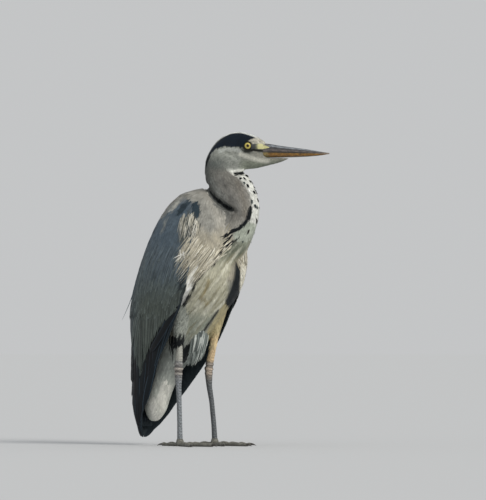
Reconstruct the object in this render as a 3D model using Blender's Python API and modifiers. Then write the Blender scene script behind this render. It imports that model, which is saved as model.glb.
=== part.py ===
"""A grey heron standing at rest with its neck folded, as a life-size museum model.

The bird's head points along +X. Its trunk is turned from that by TRUNK_TURN towards -Y, so the trunk
has a frame of its own: u forwards, v to the bird's left, z up. Sizes are in millimetres and turn into
metres where a mesh is made.
"""
import math

import bmesh
import bpy
from mathutils import Matrix, Vector

MM = 0.001

# Driving sizes of the bird, in millimetres and radians.
TRUNK_TURN = math.radians(42)
TRUNK_X = -10
HEAD_Y = -56
SEAM = 0.4
SQUARENESS = 2.3
RING = 24
EYE_RADIUS = 8.2
EYE_PLACE = (100.9, 9.9, 576)
GAPE_BACK, BILL_TIP = 131, 258.6
GAPE_HEIGHT, TIP_HEIGHT = 564.5, 562.2
FOOT_U = {"right": 9, "left": 30}
FOOT_V = 38
HEEL_BACK = {"right": 4, "left": 15.5}
PAD_LEVEL, HEEL_LEVEL, THIGH_LEVEL = 14, 148, 200
ABOVE_ALL = 700
BELOW_ALL = -100
SLAB_WIDTH = 1000
TOE_LENGTHS = {"inner": 64, "middle": 84, "outer": 72, "hind": 50}
TOE_TURNS = {"inner": -32, "middle": 0, "outer": 30, "hind": 186}
CLAW_LENGTHS = {"inner": 10, "middle": 12, "outer": 10, "hind": 17}
SIDES = {"right": -1, "left": 1}

COLOURS = {
    "plumage_white": (0.72, 0.70, 0.62),
    "plumage_grey": (0.33, 0.34, 0.33),
    "wing_grey": (0.16, 0.19, 0.20),
    "flight_black": (0.02, 0.023, 0.03),
    "bill_dark": (0.20, 0.18, 0.16),
    "bill_yellow": (0.42, 0.26, 0.08),
    "eye_yellow": (0.75, 0.60, 0.12),
    "leg_scales": (0.24, 0.23, 0.20),
    "thigh_buff": (0.50, 0.46, 0.36),
    "claw_horn": (0.04, 0.035, 0.03),
}


def trunk_point(u, v, z):
    """A point of the trunk's own frame in the bird's frame."""
    c, s = math.cos(TRUNK_TURN), math.sin(TRUNK_TURN)
    return Vector((TRUNK_X + u * c + v * s, -u * s + v * c, z))


FORWARD = trunk_point(1, 0, 0) - trunk_point(0, 0, 0)
LEFT = trunk_point(0, 1, 0) - trunk_point(0, 0, 0)
UP = Vector((0, 0, 1))


def signed_power(value, power):
    return math.copysign(abs(value) ** power, value)


# ---------------------------------------------------------------- the scene and its objects

for old in list(bpy.data.objects):
    bpy.data.objects.remove(old, do_unlink=True)


def collection(name):
    made = bpy.data.collections.new(name)
    bpy.context.scene.collection.children.link(made)
    return made


HERON = collection("heron")
CUTTERS = collection("cutters")


def material(name):
    if name in bpy.data.materials:
        return bpy.data.materials[name]
    made = bpy.data.materials.new(name)
    made.use_nodes = True
    shader = made.node_tree.nodes["Principled BSDF"]
    shader.inputs["Base Color"].default_value = (*COLOURS[name], 1)
    shader.inputs["Roughness"].default_value = 0.15 if name == "eye_yellow" else 0.7
    shader.inputs["Metallic"].default_value = 0
    return made


def add(name, mesh, finish=None):
    """Puts a mesh in the model, or among the cutters when it has no finish."""
    obj = bpy.data.objects.new(name, mesh)
    (HERON if finish else CUTTERS).objects.link(obj)
    mesh.materials.clear()
    if finish:
        mesh.materials.append(material(finish))
    else:
        obj.hide_render = True
        obj.display_type = "WIRE"
    return obj


def settle(obj):
    """Applies the object's modifiers to its mesh."""
    bpy.context.view_layer.update()
    graph = bpy.context.evaluated_depsgraph_get()
    obj.data = bpy.data.meshes.new_from_object(obj.evaluated_get(graph))
    obj.modifiers.clear()
    return obj


def modify(obj, kind, **settings):
    modifier = obj.modifiers.new(kind.title(), kind)
    for key, value in settings.items():
        setattr(modifier, key, value)


def cut(obj, *cutters):
    for cutter in cutters:
        modify(obj, "BOOLEAN", operation="DIFFERENCE", object=cutter)
    return settle(obj)


def part_of(whole, name, cell, finish):
    """The piece of a whole that lies in a cell, as a node of its own."""
    piece = add(name, whole.data.copy(), finish)
    modify(piece, "BOOLEAN", operation="INTERSECT", object=cell)
    return largest_body(settle(piece))


def largest_body(obj):
    """Drops the crumbs that a cut leaves beside the main body."""
    bm = bmesh.new()
    bm.from_mesh(obj.data)
    left = set(bm.verts)
    islands = []
    while left:
        island = [left.pop()]
        for vert in island:
            for edge in vert.link_edges:
                other = edge.other_vert(vert)
                if other in left:
                    left.remove(other)
                    island.append(other)
        islands.append(island)
    islands.sort(key=len)
    for island in islands[:-1]:
        bmesh.ops.delete(bm, geom=island, context="VERTS")
    bm.to_mesh(obj.data)
    bm.free()
    return obj


# ---------------------------------------------------------------- lofts

def loft(rings):
    """A closed mesh through rings of equally many points, given in millimetres."""
    bm = bmesh.new()
    rows = [[bm.verts.new(p * MM) for p in ring] for ring in rings]
    loops = [[bm.edges.new((row[i - 1], row[i])) for i in range(len(row))] for row in rows]
    for a, b in zip(rows, rows[1:]):
        for i in range(len(a)):
            bm.faces.new((a[i - 1], a[i], b[i], b[i - 1]))
    bmesh.ops.holes_fill(bm, edges=loops[0] + loops[-1], sides=0)
    bmesh.ops.triangulate(bm, faces=bm.faces)
    bmesh.ops.recalc_face_normals(bm, faces=bm.faces)
    mesh = bpy.data.meshes.new("loft")
    bm.to_mesh(mesh)
    bm.free()
    return mesh


def smooth_values(rows, count):
    """Rows of numbers resampled on Catmull-Rom curves, evenly from row to row."""
    found = []
    spans = len(rows) - 1
    for k in range(count):
        t = spans * k / (count - 1)
        i = min(int(t), spans - 1)
        f = t - i
        four = (rows[min(max(j, 0), spans)] for j in (i - 1, i, i + 1, i + 2))
        found.append([
            q + 0.5 * f * (r - p + f * (2 * p - 5 * q + 4 * r - s + f * (3 * q - p - 3 * r + s)))
            for p, q, r, s in zip(*four)
        ])
    return found


def level_values(rows, z):
    """The values of rows that start with a height, at the height z."""
    rows = sorted(rows)
    if z <= rows[0][0]:
        return rows[0][1:]
    for low, high in zip(rows, rows[1:]):
        if z <= high[0]:
            f = (z - low[0]) / (high[0] - low[0])
            return [a + (b - a) * f for a, b in zip(low[1:], high[1:])]
    return rows[-1][1:]


def oval(centre, across, up, half_across, half_up, half_down, count=RING, square=2.0):
    """A ring round centre: half_across to either side, half_up one way and half_down the other."""
    ring = []
    for i in range(count):
        angle = 2 * math.pi * i / count
        side = signed_power(math.cos(angle), 2 / square) * half_across
        rise = signed_power(math.sin(angle), 2 / square)
        ring.append(centre + across * side + up * (rise * (half_up if rise > 0 else half_down)))
    return ring


def tube(points, radii, count, turn=0.0):
    """A tube through points, with a fore-and-aft and a sideways radius at each."""
    rings = []
    for i, centre in enumerate(points):
        along = (points[min(i + 1, len(points) - 1)] - points[max(i - 1, 0)]).normalized()
        across = Vector((math.sin(turn), math.cos(turn), 0))
        across = (across - along * across.dot(along)).normalized()
        fore, side = radii[i]
        rings.append(oval(centre, across, along.cross(across), side, fore, fore, count=count))
    return loft(rings)


# ---------------------------------------------------------------- flesh: trunk, neck and head

# The trunk in level slices: height, widest place along u, breast, back, half-width.
TRUNK_SLICES = [
    (499, 41, 52, 30, 9),
    (490, 30, 72, -5, 32),
    (475, 25, 90, -20, 48),
    (444, 20, 106, -42, 68),
    (413, 15, 117, -64, 79),
    (374, 8, 121, -86, 86),
    (328, 0, 117, -105, 87),
    (297, -8, 105, -116, 83),
    (266, -18, 83, -121, 68),
    (235, -30, 58, -122, 48),
    (205, -45, 32, -121, 38),
    (174, -60, 4, -119, 33),
    (140, -75, -34, -117, 31),
    (100, -86, -57, -117, 27),
    (70, -91, -67, -114, 21),
    (53, -94, -77, -108, 13),
    (45, -95, -86, -103, 6),
]

# The folded neck from the skull down to the breast: x, z, half its depth, half its width, turn, y.
NECK_STATIONS = [
    (56, 550, 30, 18, 0, HEAD_Y),
    (48, 525, 31, 20, 3, HEAD_Y),
    (66, 500, 42, 21, 8, -58),
    (84, 478, 38, 23, 14, -64),
    (93, 454, 33, 25, 18, -68),
    (89, 429, 32, 28, 22, -67),
    (77, 402, 34, 33, 28, -62),
    (60, 375, 37, 40, 35, -54),
    (42, 347, 38, 45, 40, -45),
]

# The skull in upright slices: x, crown, throat, half-width. The chin's feathering runs on under the bill.
HEAD_SLICES = [
    (142, 581, 552, 7.5),
    (130, 590, 540, 11),
    (116, 598, 534, 14.5),
    (100, 603, 533, 17),
    (84, 605.5, 529, 19.5),
    (68, 603, 521, 21.5),
    (52, 595, 512, 22),
    (38, 582, 508, 20.5),
    (27, 566, 508, 17),
    (20, 550, 516, 10),
]
CHIN_SLICES = [
    (90, 566, 531, 14),
    (115, 562, 531.5, 12),
    (137, 558, 536.5, 9),
    (160, 557, 542, 6.5),
    (180, 556, 548.5, 4),
    (188, 555, 551.5, 2),
]
NECK_LEVEL = 522
NECK_BASE = 7
NECK_LENGTHS = {"neck_upper": (0, 3), "neck_middle": (3, 5), "neck_lower": (5, NECK_BASE)}
NECK_SPARE = 5
FLESH_VOXEL = 4.0
FLESH_TRIANGLES = 2300
FLESH_SMOOTHING = 3
TRUNK_RINGS, HEAD_RINGS, CHIN_RINGS = 34, 20, 12


def trunk_form():
    rings = []
    for z, middle, breast, back, half_width in smooth_values(TRUNK_SLICES, TRUNK_RINGS):
        centre = trunk_point(middle, 0, z)
        ring = oval(centre, LEFT, FORWARD, half_width, breast - middle, middle - back, square=SQUARENESS)
        rings.append(ring)
    return loft(rings)


def neck_tube(first, last, spare=0.0, inset=0.0, fineness=8, count=RING):
    """A length of the neck between two stations, with spare room all round and its ends drawn in."""
    steps = fineness * (len(NECK_STATIONS) - 1)
    rows = smooth_values(NECK_STATIONS, steps + 1)
    begin, end = first * fineness, last * fineness
    rings = []
    for i in range(begin, end + 1):
        x, z, half_depth, half_width, turn, y = rows[i]
        before, after = rows[max(i - 1, 0)], rows[min(i + 1, steps)]
        along = Vector((after[0] - before[0], after[5] - before[5], after[1] - before[1])).normalized()
        turn = math.radians(turn)
        across = Vector((math.sin(turn), math.cos(turn), 0))
        across = (across - along * across.dot(along)).normalized()
        centre = Vector((x, y, z))
        if i in (begin, end):
            centre += along * (inset if i == begin else -inset)
        depth = half_depth + spare
        rings.append(oval(centre, across, along.cross(across), half_width + spare, depth, depth, count))
    return loft(rings)


def neck_cell(first, last, spare, inset):
    """A coarse tube round a length of the neck, which parts it from the rest."""
    return neck_tube(first, last, spare, inset, fineness=2, count=12)


def upright_loft(slices, count):
    rings = []
    for x, top, bottom, half_width in smooth_values(slices, count):
        half = (top - bottom) / 2
        centre = Vector((x, HEAD_Y, bottom + half))
        rings.append(oval(centre, Vector((0, 1, 0)), UP, half_width, half, half))
    return loft(rings)


def make_flesh():
    """Head, neck and trunk as one closed body, before they are parted."""
    bm = bmesh.new()
    skull, chin = upright_loft(HEAD_SLICES, HEAD_RINGS), upright_loft(CHIN_SLICES, CHIN_RINGS)
    for form in (trunk_form(), neck_tube(0, len(NECK_STATIONS) - 1), skull, chin):
        bm.from_mesh(form)
    whole = bpy.data.meshes.new("flesh")
    bm.to_mesh(whole)
    bm.free()
    body = add("flesh", whole)
    modify(body, "REMESH", mode="VOXEL", voxel_size=FLESH_VOXEL * MM)
    modify(body, "SMOOTH", factor=0.5, iterations=FLESH_SMOOTHING)
    settle(body)
    triangles = sum(len(face.vertices) - 2 for face in body.data.polygons)
    modify(body, "DECIMATE", ratio=FLESH_TRIANGLES / triangles)
    return settle(body)


# ---------------------------------------------------------------- wings and tail

# The folded wings' outer form: height, widest place along u, front, back, half-width.
WING_SLICES = [
    (490, 30, 80, -8, 36),
    (475, 25, 96, -23, 51),
    (444, 20, 110, -45, 71),
    (413, 15, 121, -65, 81),
    (374, 8, 125, -87, 87),
    (328, 0, 119, -107, 89),
    (297, -8, 108, -119, 89),
    (266, -18, 96, -128, 85),
    (235, -30, 84, -132.5, 79),
    (205, -42, 74, -132.5, 70),
    (174, -55, 64, -133.5, 61),
    (127, -80, 44, -135.5, 51),
    (81, -98, 14, -137, 39),
    (50, -108, -26, -133.5, 28),
    (35, -112, -56, -130, 20),
    (25, -117, -95, -129, 13),
    (15, -121, -114, -125, 4.6),
]

# Each layer of a wing in rows: height, front edge of the right and of the left wing along u, half the
# room left at the back, depth below the outer form, thickness.
COVERT_ROWS = [
    (486, 30, 34, 36, 0, 3),
    (478, 48, 52, 43, 0, 6),
    (466, 62, 66, 45, 0, 9),
    (450, 71, 76, 43, 0, 11),
    (425, 75, 82, 38, 0, 12),
    (390, 74, 83, 27, 0, 12),
    (350, 70, 80, 14, 0, 11),
    (320, 66, 76, 5, 0, 9),
    (297, 60, 70, 2, 0, 7),
    (270, 42, 54, 2, 0, 5.2),
    (250, 24, 36, 2, 0, 5),
    (225, 0, 12, 2, 0, 4.6),
    (200, -26, -12, 2, 0, 4.4),
    (175, -48, -36, 2, 0, 4),
    (150, -68, -58, 4, 0, 3.4),
    (127, -86, -80, 12, 0, 2),
]
PRIMARY_ROWS = [
    (285, 48, 58, 40, 7.4, 2),
    (266, 40, 52, 36, 6.4, 4.5),
    (235, 20, 40, 26, 6.0, 5),
    (205, 0, 28, 16, 5.6, 5),
    (174, -27, 8, 10, 5.2, 5),
    (150, -45, -10, 6, 4.8, 5),
    (127, -60, -30, 3, 3.8, 5),
    (104, -74, -50, 2, 1.6, 5),
    (81, -87, -71, 2, 0.4, 5),
    (60, -97, -84, 2, 0, 4.5),
    (40, -106, -99, 2, 0, 3.6),
    (25, -114, -113, 2, 0, 2.4),
    (15, -119, -118, 2, 0, 1.6),
]
OUTER_POINTS = 7
EDGE_THICKNESS = 1.6


def wing_ring(side, z, front, back_room, depth, thickness):
    """One level section of a wing layer: along its outer face and back along its inner one."""
    middle, far_front, far_back, half_width = level_values(WING_SLICES, z)
    half_width -= depth

    def place(angle, inset):
        reach = (far_front - middle) if math.cos(angle) > 0 else (middle - far_back - depth)
        u = middle + signed_power(math.cos(angle), 2 / SQUARENESS) * (reach - inset)
        v = signed_power(math.sin(angle), 2 / SQUARENESS) * (half_width - inset)
        return trunk_point(u, side * v, z)

    share = min(max((front - middle) / (far_front - middle if front > middle else middle - far_back), -1), 1)
    start = math.acos(signed_power(share, SQUARENESS / 2))
    end = math.pi - math.asin(min(back_room / half_width, 1) ** (SQUARENESS / 2))
    steps = [i / (OUTER_POINTS - 1) for i in range(OUTER_POINTS)]
    outer = [place(start + (end - start) * f, 0) for f in steps]
    inner = []
    for f in reversed(steps):
        wall = EDGE_THICKNESS + (thickness - EDGE_THICKNESS) * math.sin(math.pi * f) ** 0.6
        inner.append(place(start + (end - start) * f, wall))
    return outer + inner


def wing_layer(rows, side_name):
    side = SIDES[side_name]
    rings = []
    for z, right, left, back_room, depth, thickness in rows:
        front = right if side_name == "right" else left
        rings.append(wing_ring(side, z, front, back_room, depth, thickness))
    return loft(rings)


# The closed tail: height, place along u, half-width, thickness.
TAIL_ROWS = [
    (185, -108, 12, 3),
    (150, -114, 20, 4),
    (110, -119, 24, 4),
    (75, -121, 23, 3.6),
    (50, -121, 17, 3),
    (36, -120, 12, 2),
]
TAIL_CUP = 7


def tail_form():
    """The tail's feathers as one thin form, cupped so that its sides stand ahead of its middle."""
    rings = []
    for z, u, half_width, thickness in TAIL_ROWS:
        steps = [i / 2 - 1 for i in range(5)]
        back = [trunk_point(u - thickness / 2 + TAIL_CUP * f * f, f * half_width, z) for f in steps]
        face = [trunk_point(u + thickness / 2 + TAIL_CUP * f * f, f * half_width, z) for f in reversed(steps)]
        rings.append(back + face)
    return loft(rings)


# ---------------------------------------------------------------- bill and eyes

# The bill: distance along it from the gape, rise of the upper half, drop of the lower one, half-width.
BILL_ROWS = [
    (0, 17, 10, 9.5),
    (12, 16.2, 10.2, 9.2),
    (30, 13.5, 9.6, 8.2),
    (55, 10.6, 8.8, 6.6),
    (85, 7.2, 7, 4.6),
    (108, 3.6, 4.6, 2.7),
    (124, 1.2, 1.8, 1.1),
    (127.6, 0.5, 0.6, 0.5),
]
BILL_RIDGE = 0.85
BILL_RING = 8


def bill_half(upper):
    """One half of the bill: flat along the gape and arched on its outer side."""
    rings = []
    for x, rise, drop, half_width in BILL_ROWS:
        share = x / (BILL_TIP - GAPE_BACK)
        gape = GAPE_HEIGHT + (TIP_HEIGHT - GAPE_HEIGHT) * share
        height = rise if upper else -drop
        start = gape + math.copysign(SEAM / 2, height)
        ring = []
        for i in range(BILL_RING):
            angle = math.pi * i / (BILL_RING - 1)
            lift = signed_power(math.sin(angle), BILL_RIDGE) * height
            ring.append(Vector((GAPE_BACK + x, HEAD_Y + math.cos(angle) * half_width, start + lift)))
        rings.append(ring)
    return loft(rings)


def eyeball(side, spare=0.0):
    bm = bmesh.new()
    bmesh.ops.create_uvsphere(bm, u_segments=12, v_segments=8, radius=(EYE_RADIUS + spare) * MM)
    x, out, z = EYE_PLACE
    bmesh.ops.translate(bm, vec=Vector((x, HEAD_Y + side * out, z)) * MM, verts=bm.verts)
    mesh = bpy.data.meshes.new("eyeball")
    bm.to_mesh(mesh)
    bm.free()
    return mesh


# ---------------------------------------------------------------- legs and feet

# A leg from the foot up: height, share of HEEL_BACK, fore-and-aft radius, sideways radius. Above
# the heel the thigh takes over: height, distance ahead of the foot, and its two radii.
LEG_ROWS = [
    (3, 0, 6.2, 6.0),
    (14, 0, 5.6, 5.4),
    (40, 0.13, 5.1, 4.8),
    (85, 0.5, 5.0, 4.7),
    (115, 0.92, 5.8, 5.2),
    (136, 1, 7.6, 7.0),
    (148, 1, 8.6, 7.8),
    (162, 0.8, 7.6, 7.0),
    (182, 0.4, 6.8, 6.2),
    (212, 0.15, 6.8, 6.2),
]
THIGH_ROWS = [
    (196, -2, 9.5, 9),
    (208, -1, 12, 11),
    (224, 1, 15.5, 13.5),
    (242, 4, 19.5, 16),
    (264, 8, 24, 18.5),
    (290, 14, 28, 20),
    (308, 18, 22, 16),
]
THIGH_SPREAD = 12
THIGH_FULLNESS = {"right": 1, "left": 0.72}
LEG_RING, THIGH_RING, PAD_RING, TOE_RING, CLAW_RING = 8, 12, 10, 6, 5
TOE_RADIUS = 4.6
TOE_TIP_RADIUS = 3.3
TOE_SWELLING = 0.5
TOE_JOINTS = {"inner": 2, "middle": 3, "outer": 4, "hind": 2}
SOLE_CUT = 0.8
PAD_ROWS = [(0, 0, 8.5, 8.5), (9, 0, 7.5, 7.5), (PAD_LEVEL, 0, 6, 6)]
CLAW_RADIUS, CLAW_TIP_RADIUS, CLAW_TAPER = 2.3, 0.35, 0.8
CLAW_RISE = 0.9
CLAW_STEPS = 3


def leg_tube(rows, side_name, count):
    side = SIDES[side_name]
    points = []
    radii = []
    for z, ahead, fore, sideways in rows:
        spread = THIGH_SPREAD * max(z - THIGH_LEVEL, 0) / 100
        points.append(trunk_point(FOOT_U[side_name] + ahead, side * (FOOT_V + spread), z))
        radii.append((fore, sideways))
    return tube(points, radii, count, TRUNK_TURN)


def slab(low, high):
    """A wide level block between two heights."""
    bm = bmesh.new()
    bmesh.ops.create_cube(bm, size=SLAB_WIDTH * MM)
    for vert in bm.verts:
        vert.co.z = (high if vert.co.z > 0 else low) * MM
    mesh = bpy.data.meshes.new("slab")
    bm.to_mesh(mesh)
    bm.free()
    return add("slab", mesh)


def toe_way(side_name, toe):
    side = SIDES[side_name]
    turn = math.radians(TOE_TURNS[toe]) * side
    return FORWARD * math.cos(turn) + LEFT * math.sin(turn)


def foot_place(side_name):
    return trunk_point(FOOT_U[side_name], SIDES[side_name] * FOOT_V, 0)


def toe_form(side_name, toe):
    """A toe with a swelling at each joint, a little below the floor so that its sole cuts flat."""
    way = toe_way(side_name, toe)
    length = TOE_LENGTHS[toe]
    count = 2 * TOE_JOINTS[toe] + 1
    points = []
    radii = []
    for i in range(count):
        f = i / (count - 1)
        radius = TOE_RADIUS + (TOE_TIP_RADIUS - TOE_RADIUS) * f
        radius += TOE_SWELLING * math.cos(2 * math.pi * f * TOE_JOINTS[toe])
        points.append(foot_place(side_name) + way * length * f + UP * (radius - SOLE_CUT))
        radii.append((radius, radius))
    turn = math.atan2(way.y, way.x)
    return tube(points, radii, TOE_RING, -turn)


def claw_form(side_name, toe):
    """A curved claw that leaves the toe's end level and comes down to the floor."""
    way = toe_way(side_name, toe)
    start = foot_place(side_name) + way * TOE_LENGTHS[toe]
    reach = CLAW_LENGTHS[toe]
    points = []
    radii = []
    for i in range(CLAW_STEPS + 1):
        f = i / CLAW_STEPS
        radius = CLAW_RADIUS * (1 - f) ** CLAW_TAPER + CLAW_TIP_RADIUS
        height = (TOE_TIP_RADIUS - SOLE_CUT + CLAW_RISE) * (1 - f ** 2) + (radius + 0.05) * f ** 2
        points.append(start + way * (SEAM + reach * f) + UP * height)
        radii.append((radius, radius * 0.8))
    return tube(points, radii, CLAW_RING, -math.atan2(way.y, way.x))


# ---------------------------------------------------------------- putting the bird together

def grown(obj):
    """A cutter that stands out from the object all round by the seam."""
    bm = bmesh.new()
    bm.from_mesh(obj.data)
    bmesh.ops.triangulate(bm, faces=bm.faces)
    moves = [vert.normal * vert.calc_shell_factor() * SEAM * MM for vert in bm.verts]
    for vert, move in zip(bm.verts, moves):
        vert.co += move
    mesh = bpy.data.meshes.new("clearance")
    bm.to_mesh(mesh)
    bm.free()
    return add(obj.name + "_clearance", mesh)


floor_cutter = slab(BELOW_ALL, 0)
legs = []
for name in SIDES:
    foot = add("foot_" + name, leg_tube(PAD_ROWS, name, PAD_RING), "leg_scales")
    toes = {toe: add("toe_" + toe + "_" + name, toe_form(name, toe), "leg_scales") for toe in TOE_LENGTHS}
    foot_clearance = grown(foot)
    middle_clearance = grown(toes["middle"])
    for toe, digit in toes.items():
        beside_middle = [middle_clearance] if toe in ("inner", "outer") else []
        largest_body(cut(digit, floor_cutter, foot_clearance, *beside_middle))
        add("claw_" + toe + "_" + name, claw_form(name, toe), "claw_horn")
    bow = [(z, -share * HEEL_BACK[name], fore, side) for z, share, fore, side in LEG_ROWS]
    leg = add("leg_form_" + name, leg_tube(bow, name, LEG_RING))
    part_of(leg, "tarsus_" + name, slab(PAD_LEVEL + SEAM, HEEL_LEVEL), "leg_scales")
    shank = part_of(leg, "shank_" + name, slab(HEEL_LEVEL + SEAM, THIGH_LEVEL), "leg_scales")
    full = THIGH_FULLNESS[name]
    rows = [(z, ahead * full, fore * full, side * full) for z, ahead, fore, side in THIGH_ROWS]
    thigh = add("thigh_" + name, leg_tube(rows, name, THIGH_RING), "thigh_buff")
    legs += [shank, cut(thigh, grown(shank))]

tail = add("tail", tail_form(), "flight_black")
wings = []
for name in SIDES:
    wings.append(add("wing_" + name, wing_layer(COVERT_ROWS, name), "wing_grey"))
    wings.append(add("primaries_" + name, wing_layer(PRIMARY_ROWS, name), "flight_black"))

flesh = make_flesh()
upper_bill = add("bill_upper", bill_half(True), "bill_dark")
lower_bill = add("bill_lower", bill_half(False), "bill_yellow")
head = part_of(flesh, "head", slab(NECK_LEVEL, ABOVE_ALL), "plumage_white")
cut(head, grown(upper_bill), grown(lower_bill))
for name, side in SIDES.items():
    add("eye_" + name, eyeball(side), "eye_yellow")
    cut(head, add("eye_socket_" + name, eyeball(side, SEAM)))
largest_body(head)

body = cut(add("body_form", flesh.data.copy()), slab(NECK_LEVEL - SEAM, ABOVE_ALL))
for name, (first, last) in NECK_LENGTHS.items():
    part_of(body, name, add(name + "_cell", neck_cell(first, last, NECK_SPARE, SEAM / 2)), "plumage_white")
trunk = add("trunk", body.data.copy(), "plumage_grey")
whole_neck = add("neck_clearance", neck_cell(0, NECK_BASE, NECK_SPARE + SEAM, -SEAM / 2))
cut(trunk, whole_neck, *[grown(piece) for piece in wings + legs + [tail]])
largest_body(trunk)


# ---------------------------------------------------------------- the bird over its own middle

bpy.context.view_layer.update()
corners = [obj.matrix_world @ vert.co for obj in HERON.objects for vert in obj.data.vertices]
lowest, highest = ([pick(corner[axis] for corner in corners) for axis in range(3)] for pick in (min, max))
middle = Vector(((lowest[0] + highest[0]) / 2, (lowest[1] + highest[1]) / 2, lowest[2]))
for obj in HERON.objects:
    obj.data.transform(Matrix.Translation(-middle))
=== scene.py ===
import math

import bmesh
import bpy
import numpy as np
from mathutils import Matrix, Vector
from mathutils.bvhtree import BVHTree


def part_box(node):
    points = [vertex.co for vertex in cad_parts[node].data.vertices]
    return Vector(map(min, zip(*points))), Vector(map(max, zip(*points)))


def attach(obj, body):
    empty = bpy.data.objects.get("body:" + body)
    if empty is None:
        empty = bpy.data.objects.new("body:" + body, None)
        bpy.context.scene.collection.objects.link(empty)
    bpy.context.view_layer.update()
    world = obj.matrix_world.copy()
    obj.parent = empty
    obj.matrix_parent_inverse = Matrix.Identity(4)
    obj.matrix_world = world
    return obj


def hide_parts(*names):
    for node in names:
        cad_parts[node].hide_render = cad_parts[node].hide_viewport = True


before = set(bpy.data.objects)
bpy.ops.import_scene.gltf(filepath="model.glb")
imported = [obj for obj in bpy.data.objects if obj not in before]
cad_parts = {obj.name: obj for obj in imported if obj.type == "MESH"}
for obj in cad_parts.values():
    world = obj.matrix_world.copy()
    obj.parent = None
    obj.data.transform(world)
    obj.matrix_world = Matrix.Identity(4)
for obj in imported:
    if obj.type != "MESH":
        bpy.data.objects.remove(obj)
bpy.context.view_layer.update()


# ---------------------------------------------------------------- skin
# The bird's skin under its feathers: one closed, soft body of head, neck, trunk, folded wings and thighs.
# It lies inside the solids by the depth of the coat, and takes the same markings as the feathers on it.
MM = 0.001
FLESH = ("head", "neck_upper", "neck_middle", "neck_lower", "trunk",
         "wing_right", "wing_left", "thigh_right", "thigh_left")
COAT_DEPTH = {"head": 1.2, "neck": 2.2, "trunk": 3.0, "wing": 2.2, "thigh": 2.0}
SIDES = {"right": -1, "left": 1}
HEAD_Y = -56.0
EYE = np.array((100.9, 9.9, 576.0))
TRUNK_TURN = math.radians(42)
TRUNK_COS, TRUNK_SIN = math.cos(TRUNK_TURN), math.sin(TRUNK_TURN)
TRUNK_X = -10.0


def eye_centre(side):
    low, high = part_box("eye_" + side)
    return (low + high) / 2


# The bird's own frame is in millimetres, with the bill along +X and the floor at 0.
BIRD_ORIGIN = np.array(eye_centre("right")) - (EYE * (1, -1, 1) + (0, HEAD_Y, 0)) * MM


def in_bird(points):
    return (np.asarray(points) - BIRD_ORIGIN) / MM


def from_bird(points):
    return np.asarray(points, float) * MM + BIRD_ORIGIN


def in_trunk(bird_points):
    """The trunk's frame: u forwards, v to the bird's left, z up."""
    x, y, z = np.asarray(bird_points).T
    x = x - TRUNK_X
    return np.stack((x * TRUNK_COS - y * TRUNK_SIN, x * TRUNK_SIN + y * TRUNK_COS, z), 1)


def from_trunk(trunk_points):
    u, v, z = np.asarray(trunk_points, float).T
    return np.stack((TRUNK_X + u * TRUNK_COS + v * TRUNK_SIN, v * TRUNK_COS - u * TRUNK_SIN, z), 1)


def trunk_ways(ways):
    """Directions in the trunk's frame as directions in the bird's."""
    return from_trunk(ways) - from_trunk(np.zeros((1, 3)))


def unit(vectors):
    return vectors / np.maximum(np.linalg.norm(vectors, axis=-1, keepdims=True), 1e-12)


def settled(obj):
    """Applies an object's modifiers to its mesh."""
    bpy.context.view_layer.update()
    graph = bpy.context.evaluated_depsgraph_get()
    obj.data = bpy.data.meshes.new_from_object(obj.evaluated_get(graph))
    obj.modifiers.clear()
    return obj


def shown(name, mesh):
    obj = bpy.data.objects.new(name, mesh)
    bpy.context.scene.collection.objects.link(obj)
    return obj


def mesh_of(bm, name):
    mesh = bpy.data.meshes.new(name)
    bm.to_mesh(mesh)
    bm.free()
    return mesh


def merged(node, spare=0.0):
    """A CAD node's mesh with its doubles merged, and let out by some spare."""
    bm = bmesh.new()
    bm.from_mesh(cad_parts[node].data)
    bmesh.ops.remove_doubles(bm, verts=bm.verts, dist=0.005 * MM)
    bm.normal_update()
    for vert in bm.verts:
        vert.co += vert.normal * spare * MM
    return mesh_of(bm, node + "_copy")


def evened(obj, iterations):
    """Smooths an object's mesh, after any modifiers that it has, and lets light shade it smooth."""
    smoother = obj.modifiers.new("Smooth", "SMOOTH")
    smoother.factor = 0.5
    smoother.iterations = iterations
    settled(obj)
    obj.data.polygons.foreach_set("use_smooth", [True] * len(obj.data.polygons))
    return obj


def remeshed(name, meshes, voxel, smoothing):
    bm = bmesh.new()
    for mesh in meshes:
        bm.from_mesh(mesh)
    obj = shown(name, mesh_of(bm, name))
    remesh = obj.modifiers.new("Remesh", "REMESH")
    remesh.mode = "VOXEL"
    remesh.voxel_size = voxel * MM
    return evened(obj, smoothing)


def ball(centre, radius):
    bm = bmesh.new()
    bmesh.ops.create_icosphere(bm, subdivisions=3, radius=radius * MM, matrix=Matrix.Translation(centre))
    return mesh_of(bm, "ball")


def vertex_array(mesh, what="co"):
    values = np.zeros(len(mesh.vertices) * 3, np.float32)
    if what == "co":
        mesh.vertices.foreach_get("co", values)
    else:
        mesh.vertex_normals.foreach_get("vector", values)
    return values.reshape(-1, 3).astype(float)


def fans(mesh):
    """A mesh's faces as triangles."""
    return np.array([(face.vertices[0], face.vertices[i], face.vertices[i + 1]) for face in mesh.polygons
                     for i in range(1, len(face.vertices) - 1)])


def tree_of(obj):
    """A surface to cast rays at and to find the nearest places on."""
    faces = [tuple(face.vertices) for face in obj.data.polygons]
    return BVHTree.FromPolygons([vert.co.copy() for vert in obj.data.vertices], faces)


def ease(low, high, values):
    """0 at low, 1 at high, and a soft step between them."""
    share = np.clip((values - low) / (high - low), 0, 1)
    return share * share * (3 - 2 * share)


def line_distance(a, b, line):
    """How far places on a plane are from a line of corners."""
    best = np.full(np.shape(a), 1e9)
    for (a0, b0), (a1, b1) in zip(line, line[1:]):
        da, db = a1 - a0, b1 - b0
        share = np.clip(((a - a0) * da + (b - b0) * db) / (da * da + db * db), 0, 1)
        best = np.minimum(best, np.hypot(a - a0 - share * da, b - b0 - share * db))
    return best


NECK_V = 8.0


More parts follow.
